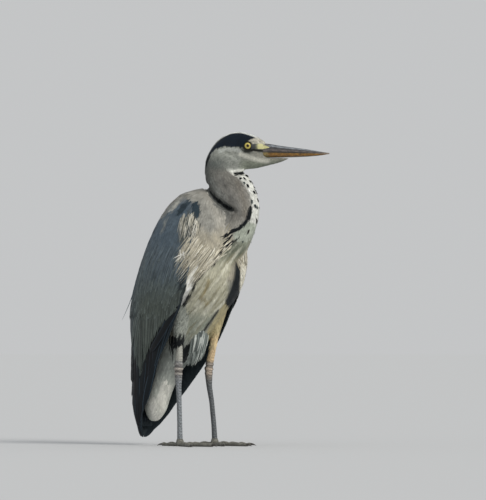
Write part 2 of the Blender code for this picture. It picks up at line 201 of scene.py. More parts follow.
def plan_x(bird, reach=0.0, mirror=0.0):
    """The bird's x, and beyond some reach on the trunk's far side the x of the mirror image nearer by."""
    u, v, z = in_trunk(bird).T
    return np.where(v < reach, bird[:, 0], from_trunk(np.stack((u, 2 * mirror - v, z), 1))[:, 0])


NECK_CREASE = [(22, 499), (31, 486), (40, 475), (52, 465.5), (64, 457), (76, 453)]
THROAT_CREASE = [(76, 523), (86, 524.5), (100, 527)]


def in_crease(bird, half_width=6.0):
    """1 along the fold behind the neck and along the one under the throat, 0 away from them."""
    z = bird[:, 2]
    x = plan_x(bird, NECK_V, NECK_V)
    behind_neck = 1 - (line_distance(x, z, NECK_CREASE) / half_width) ** 2
    behind_neck *= np.interp(x, [20, 30, 46, 66, 80], [0.2, 0.6, 1, 1, 0.2])
    under_throat = 1 - (line_distance(bird[:, 0], z, THROAT_CREASE) / (half_width * 0.6)) ** 2
    return np.clip(np.maximum(behind_neck, under_throat * 0.8), 0, 1)


cad_points, cad_faces, cad_labels = [], [], []
for node in FLESH:
    copy = merged(node)
    cad_faces += [[len(cad_points) + i for i in face.vertices] for face in copy.polygons]
    cad_labels += [node] * len(copy.polygons)
    cad_points += [vert.co.copy() for vert in copy.vertices]
cad_tree = BVHTree.FromPolygons(cad_points, cad_faces)


def labels_at(points):
    """The CAD node of flesh nearest to each point."""
    return np.array([cad_labels[cad_tree.find_nearest(Vector(p))[2]] for p in points])


SKIN_VOXEL, SKIN_SPARE, EYE_STUFFING = 2.3, 0.35, 7.3
DEEPEST_SHARE = 0.35
CREASE_DEPTH = 10.0
stuffing = [merged(node, SKIN_SPARE) for node in FLESH]
stuffing += [ball(eye_centre(side), EYE_STUFFING) for side in SIDES]
skin = remeshed("skin", stuffing, SKIN_VOXEL, 7)
skin_points = vertex_array(skin.data)
skin_normals = vertex_array(skin.data, "normal")
full_tree = tree_of(skin)
depths = []
for point, normal, label in zip(skin_points, skin_normals, labels_at(skin_points)):
    inward = Vector(-normal)
    hit = full_tree.ray_cast(Vector(point) + inward * 0.05 * MM, inward)
    thickness = hit[3] if hit[0] is not None else 1.0
    depths.append(min(COAT_DEPTH[label.split("_")[0]] * MM, DEEPEST_SHARE * thickness))
fold_depths = CREASE_DEPTH * MM * in_crease(in_bird(skin_points)) ** 0.7
skin_points -= skin_normals * (np.array(depths) + fold_depths)[:, None]
skin.data.vertices.foreach_set("co", skin_points.astype(np.float32).ravel())
evened(skin, 3)
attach(skin, "root")
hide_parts(*FLESH)

skin_points = vertex_array(skin.data)
skin_faces = fans(skin.data)
skin_tree = BVHTree.FromPolygons(skin_points.tolist(), skin_faces.tolist())


# ---------------------------------------------------------------- markings
# The plumage's colours as one rule on the bird's own frame, for skin and feathers alike: melanin greys and
# blacks over white, buff with powder down on the breast, as a grown grey heron has them. Painted shade lies
# in the folds of neck and throat, along the rear of back and wing, on the back of the neck, under chin and
# eye, atop the chest, before the far wing and below the belly; painted light lies on the neck's side, the
# undertail and the far thigh.
NECK_WAY = np.array([(56, 550), (48, 525), (66, 500), (84, 478), (93, 454), (89, 429), (77, 402), (60, 375),
                     (42, 347)], float)
NECK_SIDE = np.array([-56, -56, -58, -64, -68, -67, -62, -54, -45], float)
NECK_HALF_DEPTH = np.array([30, 31, 42, 38, 33, 32, 34, 37, 38], float)
NECK_HALF_WIDTH = np.array([18, 20, 21, 23, 25, 28, 33, 40, 45], float)
NECK_TURN = np.radians([0, 3, 8, 14, 18, 22, 28, 35, 40])


def linear(hex_colour):
    """A hex sRGB colour as linear RGB."""
    values = np.array([int(hex_colour[i:i + 2], 16) / 255 for i in (1, 3, 5)])
    return np.where(values <= 0.04045, values / 12.92, ((values + 0.055) / 1.055) ** 2.4)


def stroke(a, b, line, half_width, soft=1.5):
    """1 on a line of that half width, 0 away from it."""
    return 1 - ease(half_width - soft, half_width + soft, line_distance(a, b, line))


def patch(a, b, corners, soft=1.5):
    """1 inside an outline, 0 outside, with a soft edge."""
    closed = list(corners) + [corners[0]]
    within = np.zeros(np.shape(a), bool)
    for (a0, b0), (a1, b1) in zip(closed, closed[1:]):
        if b0 != b1:
            within ^= ((b0 > b) != (b1 > b)) & (a < (a1 - a0) * (b - b0) / (b1 - b0) + a0)
    signed = line_distance(a, b, closed) * np.where(within, -1, 1)
    return 1 - ease(-soft, soft, signed)


def blend(colours, others, share):
    return colours + (others - colours) * np.asarray(share)[:, None]


def paint(colours, *layers):
    """Lays each layer's colour where its mask is 1, one over another."""
    for mask, tone in layers:
        colours = blend(colours, linear(tone), mask)
    return colours


def inks(tones):
    return np.array([linear(tone) for tone in tones])


def plain(count, hex_colour):
    return np.tile(linear(hex_colour), (count, 1))


def neck_at(station, values):
    return np.interp(station, np.arange(len(values)), values)


def neck_heading(station, reach):
    """The neck's way downwards along x, z and y, over some reach to either side of the stations."""
    return [neck_at(station + reach, line) - neck_at(station - reach, line)
            for line in (*NECK_WAY.T, NECK_SIDE)]


def neck_place(bird):
    """Where points lie on the neck: station number, front (+1) to back (-1), right (-1) to left (+1)."""
    x, y, z = bird.T
    best = np.full(len(x), 1e9)
    station = np.zeros(len(x))
    for i in range(len(NECK_WAY) - 1):
        start, step = NECK_WAY[i], NECK_WAY[i + 1] - NECK_WAY[i]
        share = np.clip(((x - start[0]) * step[0] + (z - start[1]) * step[1]) / (step @ step), 0, 1)
        gap = np.hypot(x - start[0] - share * step[0], z - start[1] - share * step[1])
        nearer = gap < best
        best[nearer] = gap[nearer]
        station[nearer] = (i + share)[nearer]
    rules = (*NECK_WAY.T, NECK_SIDE, NECK_HALF_DEPTH, NECK_HALF_WIDTH, NECK_TURN)
    centre_x, centre_z, centre_y, depth, width, turn = (neck_at(station, rule) for rule in rules)
    along_x, along_z, _ = neck_heading(station, 0.7)
    length = np.hypot(along_x, along_z)
    level = (x - centre_x) * np.cos(turn) - (y - centre_y) * np.sin(turn)
    front = (level * -along_z + (z - centre_z) * along_x) / length / depth
    left = ((x - centre_x) * np.sin(turn) + (y - centre_y) * np.cos(turn)) / width
    return station, front, left


def neck_mirror(bird):
    """Points' mirror images about the neck's own middle plane, and how far to its left they are."""
    station = neck_place(bird)[0]
    turn = neck_at(station, NECK_TURN)
    aside = np.stack((np.sin(turn), np.cos(turn), np.zeros(len(turn))), 1)
    middle = np.stack((neck_at(station, NECK_WAY[:, 0]), neck_at(station, NECK_SIDE), bird[:, 2]), 1)
    outward = ((bird - middle) * aside).sum(1)
    return bird - 2 * outward[:, None] * aside, outward


def neck_plan(bird):
    """The bird's x, and on the neck's left the x of the mirror image on its right."""
    image, outward = neck_mirror(bird)
    return np.where(outward > 0, image[:, 0], bird[:, 0])


def clouds(a, b, size):
    """Soft blotches between 0 and 1, about one size across."""
    a, b = a / size, b / size
    waves = np.sin(2.1 * a + 1.3 * np.sin(1.7 * b)) + np.sin(2.6 * b + 1.1 * np.sin(1.9 * a + 2))
    waves = waves + np.sin(1.3 * (a + b))
    return np.clip(0.5 + waves / 5, 0, 1)


CROWN_STRIPE = [
    (50, 591), (58, 596), (68, 600), (78, 602), (90, 602), (102, 599), (111, 595), (116, 592), (107, 588.5),
    (101, 585), (96, 581), (93, 574), (88, 572), (80, 574), (68, 573), (57, 575), (48, 572), (40, 569),
    (34, 564), (27, 553), (22, 537), (18, 528), (10, 528), (10, 560), (30, 590)]
EYE_STRIPE = [(96, 566), (104, 566), (112, 568.5), (122, 567), (132, 566.5), (142, 566)]


def head_markings(bird):
    x, y, z = bird.T
    side = np.abs(y - HEAD_Y)
    streaks = ease(0.55, 0.85, clouds(x * 0.35, z + x * 0.25, 1.6))
    edge = 1.6 * np.sin(x * 1.1) * np.sin(x * 0.37 + 1)
    return paint(
        plain(len(x), "#949389"),
        (ease(592, 576, z) * ease(128, 80, x) * 0.6, "#8d928d"),
        (ease(0.5, 0.8, clouds(x + z * 0.4, z, 4)) * ease(578, 570, z) * 0.4, "#626862"),
        # Grey of the nape, darkened further as painted shade on the back of the head, away from the sun.
        (ease(562, 540, z) * ease(75, 38, x) * 0.85, "#555a58"),
        # Painted shade under the chin: a grey-green laid over its white.
        (ease(556, 541, z) * ease(76, 100, x), "#7f8477"),
        (stroke(x, z, [(88, 560), (104, 554), (124, 549), (140, 547)], 4, 3) * 0.7, "#d0cfc4"),
        (stroke(x, z, [(50, 562), (66, 556), (84, 549)], 3, 3) * 0.5, "#aeb1a9"),
        (stroke(x, z, [(48, 566), (60, 570), (74, 569), (88, 566)], 3, 2.5) * 0.6, "#b9bdb8"),
        (ease(94, 106, x) * ease(576, 583, z), "#c6c2b4"),
        (ease(98, 106, x) * ease(578, 584, z) * streaks * 0.5, "#6f6a5e"),
        (ease(9, 6, side) * ease(588, 596, z), "#dcdedb"),
        (ease(11.5, 9.5, np.hypot(x - EYE[0], (z - EYE[2]) * 1.1)) * (x < 115), "#191a15"),
        (stroke(x, z, EYE_STRIPE, 2.5, 1.2), "#191a15"),
        (stroke(x, z, [(115, 577.5), (117, 576)], 2, 2), "#1d252c"),
        # Painted shade beneath the eye.
        (stroke(x, z, [(90, 569), (96, 564.5), (104, 564)], 2.5, 2) * 0.8, "#2a2e2b"),
        (patch(x, z + edge * ease(580, 574, z), CROWN_STRIPE, 1.3) * ease(5, 8, side), "#021824"),
    )


# Painted shade along a valley in the side of the folded neck.
NECK_VALLEY_SHADE = [(50, 512), (58, 498), (70, 480), (80, 462), (86, 446)]


def neck_markings(bird):
    station, front, left = neck_place(bird)
    x, _, z = bird.T
    round_neck = np.degrees(np.arctan2(np.abs(left), front))
    white_reach = np.interp(station, [0, 1, 2, 3, 4, 5, 6, 8], [70, 62, 50, 44, 42, 44, 40, 45])
    white = ease(white_reach + 7, white_reach - 7, round_neck)
    return paint(
        plain(len(x), "#918e87"),
        # The back of the neck and the nape: a cooler grey, darkened further as painted shade on the side away
        # from the sun.
        (ease(95, 150, round_neck) * 0.8, "#5b605e"),
        (ease(1.6, 0.4, station) * ease(60, 110, round_neck) * 0.6, "#535857"),
        (ease(488, 508, z) * 0.4, "#5b5c57"),
        # Painted shade along the neck's valley, then painted light on the rounded side behind it.
        (stroke(x, z, NECK_VALLEY_SHADE, 4, 6) * 0.5, "#5f6160"),
        (stroke(x, z, [(35, 505), (44, 490), (56, 478)], 6, 6) * 0.45, "#8f928e"),
        (stroke(x, z, [(82, 505), (90, 484), (97, 462), (96, 444)], 5, 5) * 0.6, "#7b756b"),
        (ease(0.35, 0.9, clouds(x - 0.8 * z, z * 0.25, 5)) * 0.3, "#5d5c57"),
        (white, "#dadbd4"),
        (ease(430, 395, z) * white, "#a3a797"),
    )


# Black lines down the neck and breast; the third is painted shadow along the belly's lower edge, before the
# far thigh and vent.
INK_AND_SHADOW_LINES = [
    [(106.7, 458), (106.5, 448), (103.6, 439), (99.4, 432.3), (93.6, 425.6), (86.9, 419.4), (79, 415),
     (71.4, 411), (62, 405)],
    [(84, 398), (72, 391), (60, 383), (50, 372), (42, 360), (38, 350), (20, 334), (4, 316), (-7, 290),
     (-20, 268)],
    [(44, 262), (33, 245), (25, 234), (15, 220), (4, 209), (-8, 197), (-18, 184), (-24, 172)],
    [(105.6, 451), (104.2, 445), (102.5, 438)],
]
BORDER_WIDTHS, BORDER_SOFT = (2.9, 1.6, 2.2, 4.0), (1.3, 1.5, 2.6, 1.3)
LOW_WHITE = [
    (100, 430), (96, 427), (88, 418), (80, 412), (73, 406), (76, 398), (82, 392), (100, 392), (118, 408),
    (114, 428)]
BELLY = [
    (95, 440), (100, 420), (80, 398), (60, 383), (46, 362), (36, 348), (14, 328), (-2, 304), (-12, 284),
    (-24, 262), (-34, 200), (-24, 180), (8, 208), (40, 250), (66, 284), (62, 320), (74, 350), (96, 372),
    (108, 400), (112, 440)]
# Painted shadow in the gap between the belly and the far wing.
FAR_GAP_SHADOW = [
    (70, 362), (67, 345), (65, 325), (62, 300), (58, 282), (60, 270), (76, 262), (86, 278), (93, 307),
    (88, 335), (80, 354)]
WHITE_STRIPE = [
    (7, 352), (-2, 348), (-9, 330), (-17, 308), (-24, 286), (-27, 268), (-21, 270), (-14, 286), (-6, 304),
    (3, 328)]
VENT = [
    (6, 212), (17, 221), (25, 210), (25, 190), (16, 176), (8, 165), (0, 158), (-14, 154), (-18, 162),
    (-11, 182), (-4, 196)]
VENT_SHADOW = [(2, 212), (-6, 206), (-16, 195), (-26, 186), (-26, 166), (-18, 160), (-12, 180), (-4, 196)]
WHITE_LOBE = [
    (-82, 100), (-88, 84), (-88, 62), (-82, 46), (-74, 44), (-66, 52), (-58, 78), (-52, 98), (-46, 118),
    (-58, 132), (-66, 118), (-72, 96)]
BUFF_THIGH = [(66, 286), (40, 258), (24, 226), (24, 205), (40, 205), (54, 226), (64, 262), (70, 288)]


def rear_shade(u, z):
    """1 along the rear edge of back and wing, where shade is painted, 0 ahead of it."""
    reach = np.interp(z, [100, 250, 350, 480], [-62, -46, -30, 0])
    return ease(reach, reach - 45, u)


def body_markings(bird):
    x = bird[:, 0]
    u, v, z = in_trunk(bird).T
    plan = plan_x(bird, 25.0)
    front = ease(-30, 10, u - np.interp(z, [200, 300, 450], [-70, -10, 20]))
    # Painted shade along the rear edge of the back.
    colours = paint(plain(len(x), "#58646c"), (rear_shade(u, z) * 0.5, "#35434c"))
    chest = paint(
        plain(len(x), "#aaa79e"),
        (ease(430, 395, z) * 0.7, "#b3ab96"),
        (ease(0.45, 0.9, clouds(plan + z * 0.6, z * 0.3, 6)) * 0.3, "#86857d"),
        # Painted shade along the top of the chest, under the fold of the neck.
        (stroke(plan, z, [(38, 462), (56, 448), (78, 444)], 5, 4) * 0.7, "#5f6362"),
    )
    colours = blend(colours, chest, front * ease(290, 330, z))
    colours = paint(colours, (front * ease(330, 290, z), "#989789"))
    along, across = plan * 0.65 + z * 0.76, plan * 0.76 - z * 0.65
    belly = paint(
        plain(len(x), "#bbb8a3"),
        (ease(335, 372, z), "#6d7263"),
        (ease(272, 240, z), "#9b9f91"),
        (ease(0.5, 0.85, clouds(across, along * 0.1, 4)) * 0.6, "#d6d4c4"),
        (ease(0.55, 0.85, clouds(across + 40, along * 0.1 + 9, 3.2)) * 0.6, "#837e66"),
        (stroke(plan, z, [(28, 320), (22, 300), (14, 286), (24, 276)], 3, 3) * 0.6, "#8a7a4c"),
    )
    colours = blend(colours, belly, front * patch(plan, z, BELLY, 4))
    below = ease(215, 190, z)
    vent = patch(plan, z, VENT, 2.5) * ease(-70, -60, u)
    vent_streaks = clouds((plan - z * 0.5) * 1.5, (plan * 0.5 + z) * 0.25, 4)
    far_side = ease(-6, 6, v) * ease(240, 262, z) * front
    buff_thigh = patch(x, z, BUFF_THIGH, 2)
    far_strip = ease(84, 89, x) * ease(276, 290, z) * ease(384, 366, z) * ease(15, 25, v)
    white_stripe = patch(plan, z, WHITE_STRIPE, 1.5)
    return paint(
        colours,
        (below, "#9ba09a"),
        # The undertail's white, made brighter towards its bottom lobe as painted sunlight.
        (below * ease(150, 100, z), "#bdc0b7"),
        (below * patch(plan, z, WHITE_LOBE, 3), "#dddcd3"),
        (below * ease(0.5, 0.8, clouds(plan * 1.2 + z * 0.3, z * 0.12, 7)) * 0.3, "#8a8f87"),
        (vent, "#a6afa9"),
        (vent * ease(0.55, 0.8, vent_streaks) * 0.8, "#e3e8e2"),
        (vent * ease(0.4, 0.2, vent_streaks) * 0.5, "#5a6361"),
        (patch(plan, z, VENT_SHADOW, 2.5), "#1e2425"),
        (ease(-6, 6, v) * buff_thigh, "#b3a985"),
        # Painted shadow between the belly and the far wing.
        (far_side * patch(x, z, FAR_GAP_SHADOW, 2.5), "#12191d"),
        (far_strip, "#e6e2d2"),
        (ease(-40, -55, -np.abs(v)) * white_stripe, "#ecebe4"),
        (stroke(plan, z, [(-10, 292), (-24, 268)], 2, 1.5) * ease(35, 45, np.abs(v)), "#15191c"),
    )


SHOULDER_BLACKS = [
    [(-33, 447), (-29, 458), (-21, 468), (-12, 470), (-10, 463), (-17, 453), (-24, 446)],
    [(-6, 466), (4, 469), (10, 463), (11, 450), (9, 438), (2, 437), (-4, 448)],
]
SLATE_PATCH = [(-58, 440), (-46, 444), (-28, 440), (-26, 420), (-34, 398), (-48, 402)]
TUFT_SHADE = [(-10, 452), (2, 440), (8, 432), (2, 410), (-18, 392), (-28, 398), (-22, 424)]
PALE_SHOULDER = [
    (-80, 455), (-60, 480), (-20, 500), (40, 500), (60, 440), (30, 405), (10, 425), (-6, 468), (-20, 474),
    (-42, 462), (-60, 440)]


def shoulder_markings(colours, bird):
    """The bend of the wing, which the wing and the trunk share."""
    z = bird[:, 2]
    plan = plan_x(bird)
    beside = ease(30, 42, np.abs(in_trunk(bird)[:, 1]))
    return paint(
        colours,
        (patch(plan, z, PALE_SHOULDER, 7) * beside, "#96958e"),
        (patch(plan, z, SLATE_PATCH, 5) * 0.8 * beside, "#5a6872"),
        (patch(plan, z, TUFT_SHADE, 4) * beside, "#5c615e"),
        (stroke(plan, z, [(-44, 454), (-31, 468)], 3, 3) * beside, "#bdbcb3"),
        (stroke(plan, z, [(-53, 438), (-61, 414)], 1.8, 2) * 0.6 * beside, "#a3a49c"),
        *((patch(plan, z, corners, 1.6) * beside, "#2c3a43") for corners in SHOULDER_BLACKS),
    )


WING_TIP = (-112.0, 22.0, 40.0)
COVERT_EDGE = [
    (-150, 215), (-123.5, 191), (-115.8, 158), (-105.2, 127.4), (-96.5, 162), (-90.7, 177.6), (-83, 195),
    (-77.2, 206.5), (-65.6, 227.7), (-57.9, 239.3), (-46.3, 247), (-32.8, 264.4), (-27, 274), (0, 300)]


def over_edge(bird):
    """How far points are above the lower edge of the coverts."""
    edge = np.array(COVERT_EDGE)
    return bird[:, 2] - np.interp(plan_x(bird), edge[:, 0], edge[:, 1])


def wing_markings(bird):
    u, v, z = in_trunk(bird).T
    plan = plan_x(bird)
    fan = np.degrees(np.arctan2(u - WING_TIP[0], z - WING_TIP[2]))
    lines = np.sin(fan * 4.4 + 1.5 * np.sin(fan * 0.9)) + 0.6 * np.sin(fan * 7.1 + z * 0.01)
    lines *= ease(18, 40, np.abs(v))
    return paint(
        plain(len(u), "#58646a"),
        (ease(360, 270, z) * 0.9, "#555c54"),
        (ease(360, 410, z) * 0.8, "#566572"),
        # Painted shade along the rear edge of the wing.
        (rear_shade(u, z) * 0.6, "#35434c"),
        (ease(0.3, 1.2, lines) * ease(420, 350, z) * 0.45, "#757f7d"),
        (ease(-0.3, -1.2, lines) * ease(420, 350, z) * 0.3, "#2f3638"),
        (stroke(plan, z, [(-15, 352), (-19, 335), (-22, 318)], 6, 4) * 0.8, "#27313a"),
        (stroke(plan, z, [(-23, 318), (-26, 275), (-40, 250)], 3, 3) * 0.8, "#1f2528"),
        (ease(2, -2, over_edge(bird)), "#181e22"),
    )


def thigh_markings(bird):
    x = bird[:, 0]
    _, v, z = in_trunk(bird).T
    bars = np.sin((x + z) * 1.5 + np.sin(z * 0.2)) * ease(196, 210, z)
    near = paint(
        plain(len(x), "#a2a69d"),
        (ease(0.1, 0.7, bars) * 0.5, "#565b54"),
        (ease(-0.4, -0.9, bars) * 0.4, "#b3b5aa"),
        (ease(216, 206, z + 4 * np.sin(x * 0.9)), "#15191b"),
    )
    far = paint(
        plain(len(x), "#b9ad88"),
        (ease(0.5, 0.9, clouds(x, z * 0.3, 3)) * 0.4, "#8d8463"),
        # Painted shade on the far thigh's left edge, and a painted highlight at its lower right.
        (ease(12, 0, x - np.interp(z, [200, 226, 262], [24, 27, 44])) * 0.7, "#7f7a5c"),
        (ease(222, 205, z) * ease(30, 40, x), "#d9c39a"),
    )
    return blend(near, far, v > 0)


MARKINGS = {"head": head_markings, "neck": neck_markings, "trunk": body_markings, "wing": wing_markings,
            "thigh": thigh_markings}


def plumage_at(points, labels):
    """Linear colours at points, by the part of the body that each is on."""
    bird = in_bird(points)
    kinds = np.array([label.split("_")[0] for label in labels])
    colours = np.zeros((len(bird), 3))
    for kind, rule in MARKINGS.items():
        chosen = kinds == kind
        if chosen.any():
            colours[chosen] = rule(bird[chosen])
    station, front, left = neck_place(bird)
    share = ease(5.2, 6.8, station) * (np.hypot(front, left) < 1.6) * (kinds == "neck")
    colours = blend(colours, body_markings(bird), share)
    nape = ease(0.0, 1.3, station) * (kinds == "head") * ease(545, 525, bird[:, 2]) * (bird[:, 0] < 95)
    colours = blend(colours, neck_markings(bird), nape)
    shoulder = np.isin(kinds, ("trunk", "wing"))[:, None]
    colours = np.where(shoulder, shoulder_markings(colours, bird), colours)
    ahead = in_trunk(bird)[:, 0] > np.interp(bird[:, 2], [150, 200, 300, 450], [-110, -60, -10, 10])
    near_plan, body_plan = neck_plan(bird), plan_x(bird, 25)
    low_white = patch(near_plan, bird[:, 2], LOW_WHITE, 2.5) * ahead * np.isin(kinds, ("neck", "trunk"))
    colours = paint(colours, (low_white, "#a9afa2"))
    plans = (near_plan, near_plan, body_plan, near_plan)
    # The black lines, the third of them painted shadow below the belly.
    for line, width, soft, plan in zip(INK_AND_SHADOW_LINES, BORDER_WIDTHS, BORDER_SOFT, plans):
        edge = stroke(plan, bird[:, 2], line, width, soft) * ahead * np.isin(kinds, ("neck", "trunk"))
        colours = paint(colours, (edge, "#12171a"))
    # Painted shadow in the folds behind the neck and under the throat.
    folded = ease(0.2, 0.75, in_crease(bird, 5.0)) * (bird[:, 0] < 92) * (bird[:, 2] < 530)
    return paint(colours, (folded, "#14191c"))


def set_colours(mesh, colours):
    attribute = mesh.color_attributes.new("plumage", "FLOAT_COLOR", "POINT")
    opaque = np.hstack((colours, np.ones((len(colours), 1))))
    attribute.data.foreach_set("color", opaque.astype(np.float32).ravel())


set_colours(skin.data, plumage_at(skin_points, labels_at(skin_points)) * 0.8)


def add_node(material, kind, inputs=None, stops=(), **settings):
    """Adds a node with its settings, values, links and tones at stops. A node among its inputs gives its
    first output."""
    made = material.node_tree.nodes.new("ShaderNode" + kind)
    for key, value in settings.items():
        setattr(made, key, value)
    for _ in stops[2:]:
        made.color_ramp.elements.new(0.5)
    for k, (spot, tone) in enumerate(stops):
        made.color_ramp.elements[k].position = spot
        made.color_ramp.elements[k].color = (*linear(tone), 1)
    for socket, value in (inputs or {}).items():
        if isinstance(value, bpy.types.Node):
            value = value.outputs[0]
        if isinstance(value, bpy.types.NodeSocket):
            material.node_tree.links.new(value, made.inputs[socket])
        else:
            made.inputs[socket].default_value = value
    return made


def finish(name, roughness, **sockets):
    """A material with its shader set, ready for its pattern."""
    material = bpy.data.materials.new(name)
    material.use_nodes = True
    shader = material.node_tree.nodes["Principled BSDF"]
    shader.inputs["Roughness"].default_value = roughness
    for socket, value in sockets.items():
        shader.inputs[socket.replace("_", " ")].default_value = value
    return material


def wear(material, colour, bump=None):
    """Links a pattern's colour to the material's shader, and its bump where it has one."""
    shader = material.node_tree.nodes["Principled BSDF"]
    material.node_tree.links.new(colour, shader.inputs["Base Color"])
    if bump:
        material.node_tree.links.new(bump.outputs["Normal"], shader.inputs["Normal"])
    return material


def mottled(material, scale, tones, stretch=None):
    """Wears a noise of some scale between two tones, on Object coordinates that may be stretched."""
    place = add_node(material, "TexCoord").outputs["Object"]
    if stretch:
        place = add_node(material, "Mapping", {"Vector": place, "Scale": stretch})
    noise = add_node(material, "TexNoise", {"Vector": place, "Scale": scale})
    dark, pale = ((*linear(tone), 1) for tone in tones)
    mix = add_node(material, "Mix", {"Factor": noise, 6: dark, 7: pale}, data_type="RGBA")
    return wear(material, mix.outputs[2])


def feather_colour(material):
    """The plumage attribute, and how far along and how far off its middle line a place on a vane is."""
    colour = add_node(material, "Attribute", attribute_name="plumage")
    vane = add_node(material, "UVMap", uv_map="vane")
    parts = add_node(material, "SeparateXYZ", {"Vector": vane})
    off = add_node(material, "Math", {0: parts.outputs["X"], 1: 0.5}, operation="SUBTRACT")
    return colour, parts.outputs["Y"], add_node(material, "Math", {0: off}, operation="ABSOLUTE")


def plumage_material(name, roughness, barbs, pale_edge=0.1):
    """Vaned feather: keratin barbs, matt and faintly soft at the edge, paler along its fringes. The tone is
    cloudy over 12 mm patches. The real barbs stand 0.3 mm apart, too fine to show, and are drawn coarser."""
    material = finish(name, roughness, Sheen_Weight=0.06, Specular_IOR_Level=0.2)
    place = add_node(material, "TexCoord").outputs["Object"]
    cloud = add_node(material, "TexNoise", {"Vector": place, "Scale": 80.0, "Detail": 4.0})
    tone = add_node(material, "MapRange", {"Value": cloud, "From Min": 0.3, "From Max": 0.7,
                                           "To Min": 0.86, "To Max": 1.14})
    if not barbs:
        colour = add_node(material, "Attribute", attribute_name="plumage")
        shade = add_node(material, "VectorMath", {0: colour, 1: tone}, operation="MULTIPLY")
        return wear(material, shade.outputs[0])
    colour, along, away = feather_colour(material)
    fringe = add_node(material, "MapRange", {"Value": away, "From Min": 0.22, "From Max": 0.48,
                                             "To Min": 1 - pale_edge / 2, "To Max": 1 + pale_edge})
    shade = add_node(material, "VectorMath", {0: colour, 1: tone}, operation="MULTIPLY")
    shade = add_node(material, "VectorMath", {0: shade, 1: fringe}, operation="MULTIPLY")
    slant = add_node(material, "Math", {0: away, 1: -0.35, 2: along}, operation="MULTIPLY_ADD")
    wave = add_node(material, "Math", {0: slant, 1: barbs}, operation="MULTIPLY")
    ripple = add_node(material, "Math", {0: wave}, operation="SINE")
    bump = add_node(material, "Bump", {"Strength": 0.25, "Distance": 0.0002, "Height": ripple})
    return wear(material, shade.outputs[0], bump)


skin.data.materials.append(plumage_material("heron skin and down", 0.85, 0))


# ---------------------------------------------------------------- how feathers are laid
# Each feather is a thin closed vane that starts in the skin, follows the lie of the coat over the body and
# ends a little proud of its neighbours.
def lie_head(bird):
    x = bird[:, 0]
    down = ease(85, 22, x)
    return np.stack((-(1 - 0.85 * down), np.zeros(len(x)), -0.12 - down), 1)


def lie_neck(bird):
    forwards, upwards, sideways = neck_heading(neck_place(bird)[0], 0.8)
    return np.stack((forwards, sideways, upwards), 1)


def lie_body(bird):
    u, v, z = in_trunk(bird).T
    back = -0.35 - 0.45 * ease(400, 330, z) * ease(200, 230, z) * ease(-20, 20, u)
    spread = 0.15 * np.sign(v) * ease(5, 40, np.abs(v)) * ease(300, 400, z)
    return trunk_ways(np.stack((back, spread, np.full(len(u), -1.0)), 1))


def lie_wing(bird):
    trunk = in_trunk(bird)
    tips = np.stack((np.full(len(trunk), WING_TIP[0]), np.where(trunk[:, 1] < 0, -WING_TIP[1], WING_TIP[1]),
                     np.full(len(trunk), WING_TIP[2])), 1)
    return trunk_ways(unit(tips - trunk))


def lie(kind):
    """The coat's lie on one part, fading into the next part's."""
    def way(points):
        bird = in_bird(points)
        if kind == "head":
            share = ease(560, 528, bird[:, 2])[:, None] * ease(110, 80, bird[:, 0])[:, None]
            found = unit(lie_head(bird)) * (1 - share) + unit(lie_neck(bird)) * share
        elif kind == "neck":
            share = ease(6.0, 8.0, neck_place(bird)[0])[:, None]
            found = unit(lie_neck(bird)) * (1 - share) + unit(lie_body(bird)) * share
        elif kind == "wing":
            found = lie_wing(bird)
        else:
            found = lie_body(bird)
        return unit(found)
    return way


def flat(ways, ups):
    return unit(ways - ups * (ways * ups).sum(1, keepdims=True))


def nearest(tree, points):
    """The nearest places of a surface to some points, with their normals."""
    found = [tree.find_nearest(Vector(p)) for p in points]
    return np.array([f[0] for f in found]), np.array([f[1] for f in found])


SAME_FACE = 0.4


def march(tree, roots, ups, aim, lengths, shares):
    """The places, normals and headings of vanes that run over a surface from their roots."""
    place, up = roots.copy(), ups.copy()
    way = flat(aim(place), up)
    rows = []
    last = 0.0
    for share in shares:
        if share > last:
            ahead = place + way * (lengths * (share - last))[:, None]
            landed, normal = nearest(tree, ahead)
            holds = ((normal * up).sum(1) > SAME_FACE)[:, None]
            place = np.where(holds, landed, ahead)
            up = unit(np.where(holds, up * 0.4 + normal * 0.6, up))
            way = flat(aim(place) * 0.75 + way * 0.25, up)
            last = share
        rows.append((place, up, way))
    return [np.stack(part, 1) for part in zip(*rows)]


def weave(path, widths, lifts, shares, outline, camber=0.1, columns=3, sink=0.3):
    """Closed vanes along their paths: an arched top of a few columns over a flat underside."""
    place, up, way = path
    count = len(place)
    shares = np.asarray(shares)
    right = np.cross(way, up)
    rise = lifts[:, None] * shares[None, :] ** 1.4 - sink * MM * (shares[None, :] < 0.01)
    centre = place + up * rise[:, :, None]
    offsets = np.linspace(-1, 1, columns)
    half = widths[:, None] / 2 * np.asarray(outline)[None, :]
    rows = centre[:, :-1, None, :] + right[:, :-1, None, :] * (half[:, :-1, None] * offsets)[..., None]
    arch = half[:, :-1, None] * 2 * camber * (1 - offsets ** 2)
    rows = rows + up[:, :-1, None, :] * arch[..., None]
    points = np.concatenate((rows.reshape(count, -1, 3), centre[:, -1:, :]), 1)
    levels = len(shares) - 1
    tip = levels * columns
    faces = []
    for k in range(levels - 1):
        a, b = k * columns, (k + 1) * columns
        for c in range(columns - 1):
            faces += [(a + c, a + c + 1, b + c + 1), (a + c, b + c + 1, b + c)]
        end = columns - 1
        faces += [(a + end, a, b), (a + end, b, b + end)]
    faces += [(0, c + 1, c) for c in range(columns - 2, 0, -1)]
    last = tip - columns
    faces += [(last + c, last + c + 1, tip) for c in range(columns - 1)]
    faces += [(last + columns - 1, last, tip)]
    across = np.append(np.tile(offsets * 0.5 + 0.5, levels), 0.5)
    along = np.append(np.repeat(shares[:-1], columns), shares[-1])
    starts = np.arange(count)[:, None, None] * points.shape[1]
    triangles = (np.array(faces)[None] + starts).reshape(-1, 3)
    return {"points": points, "triangles": triangles, "across": across, "along": along, "roots": place[:, 0]}


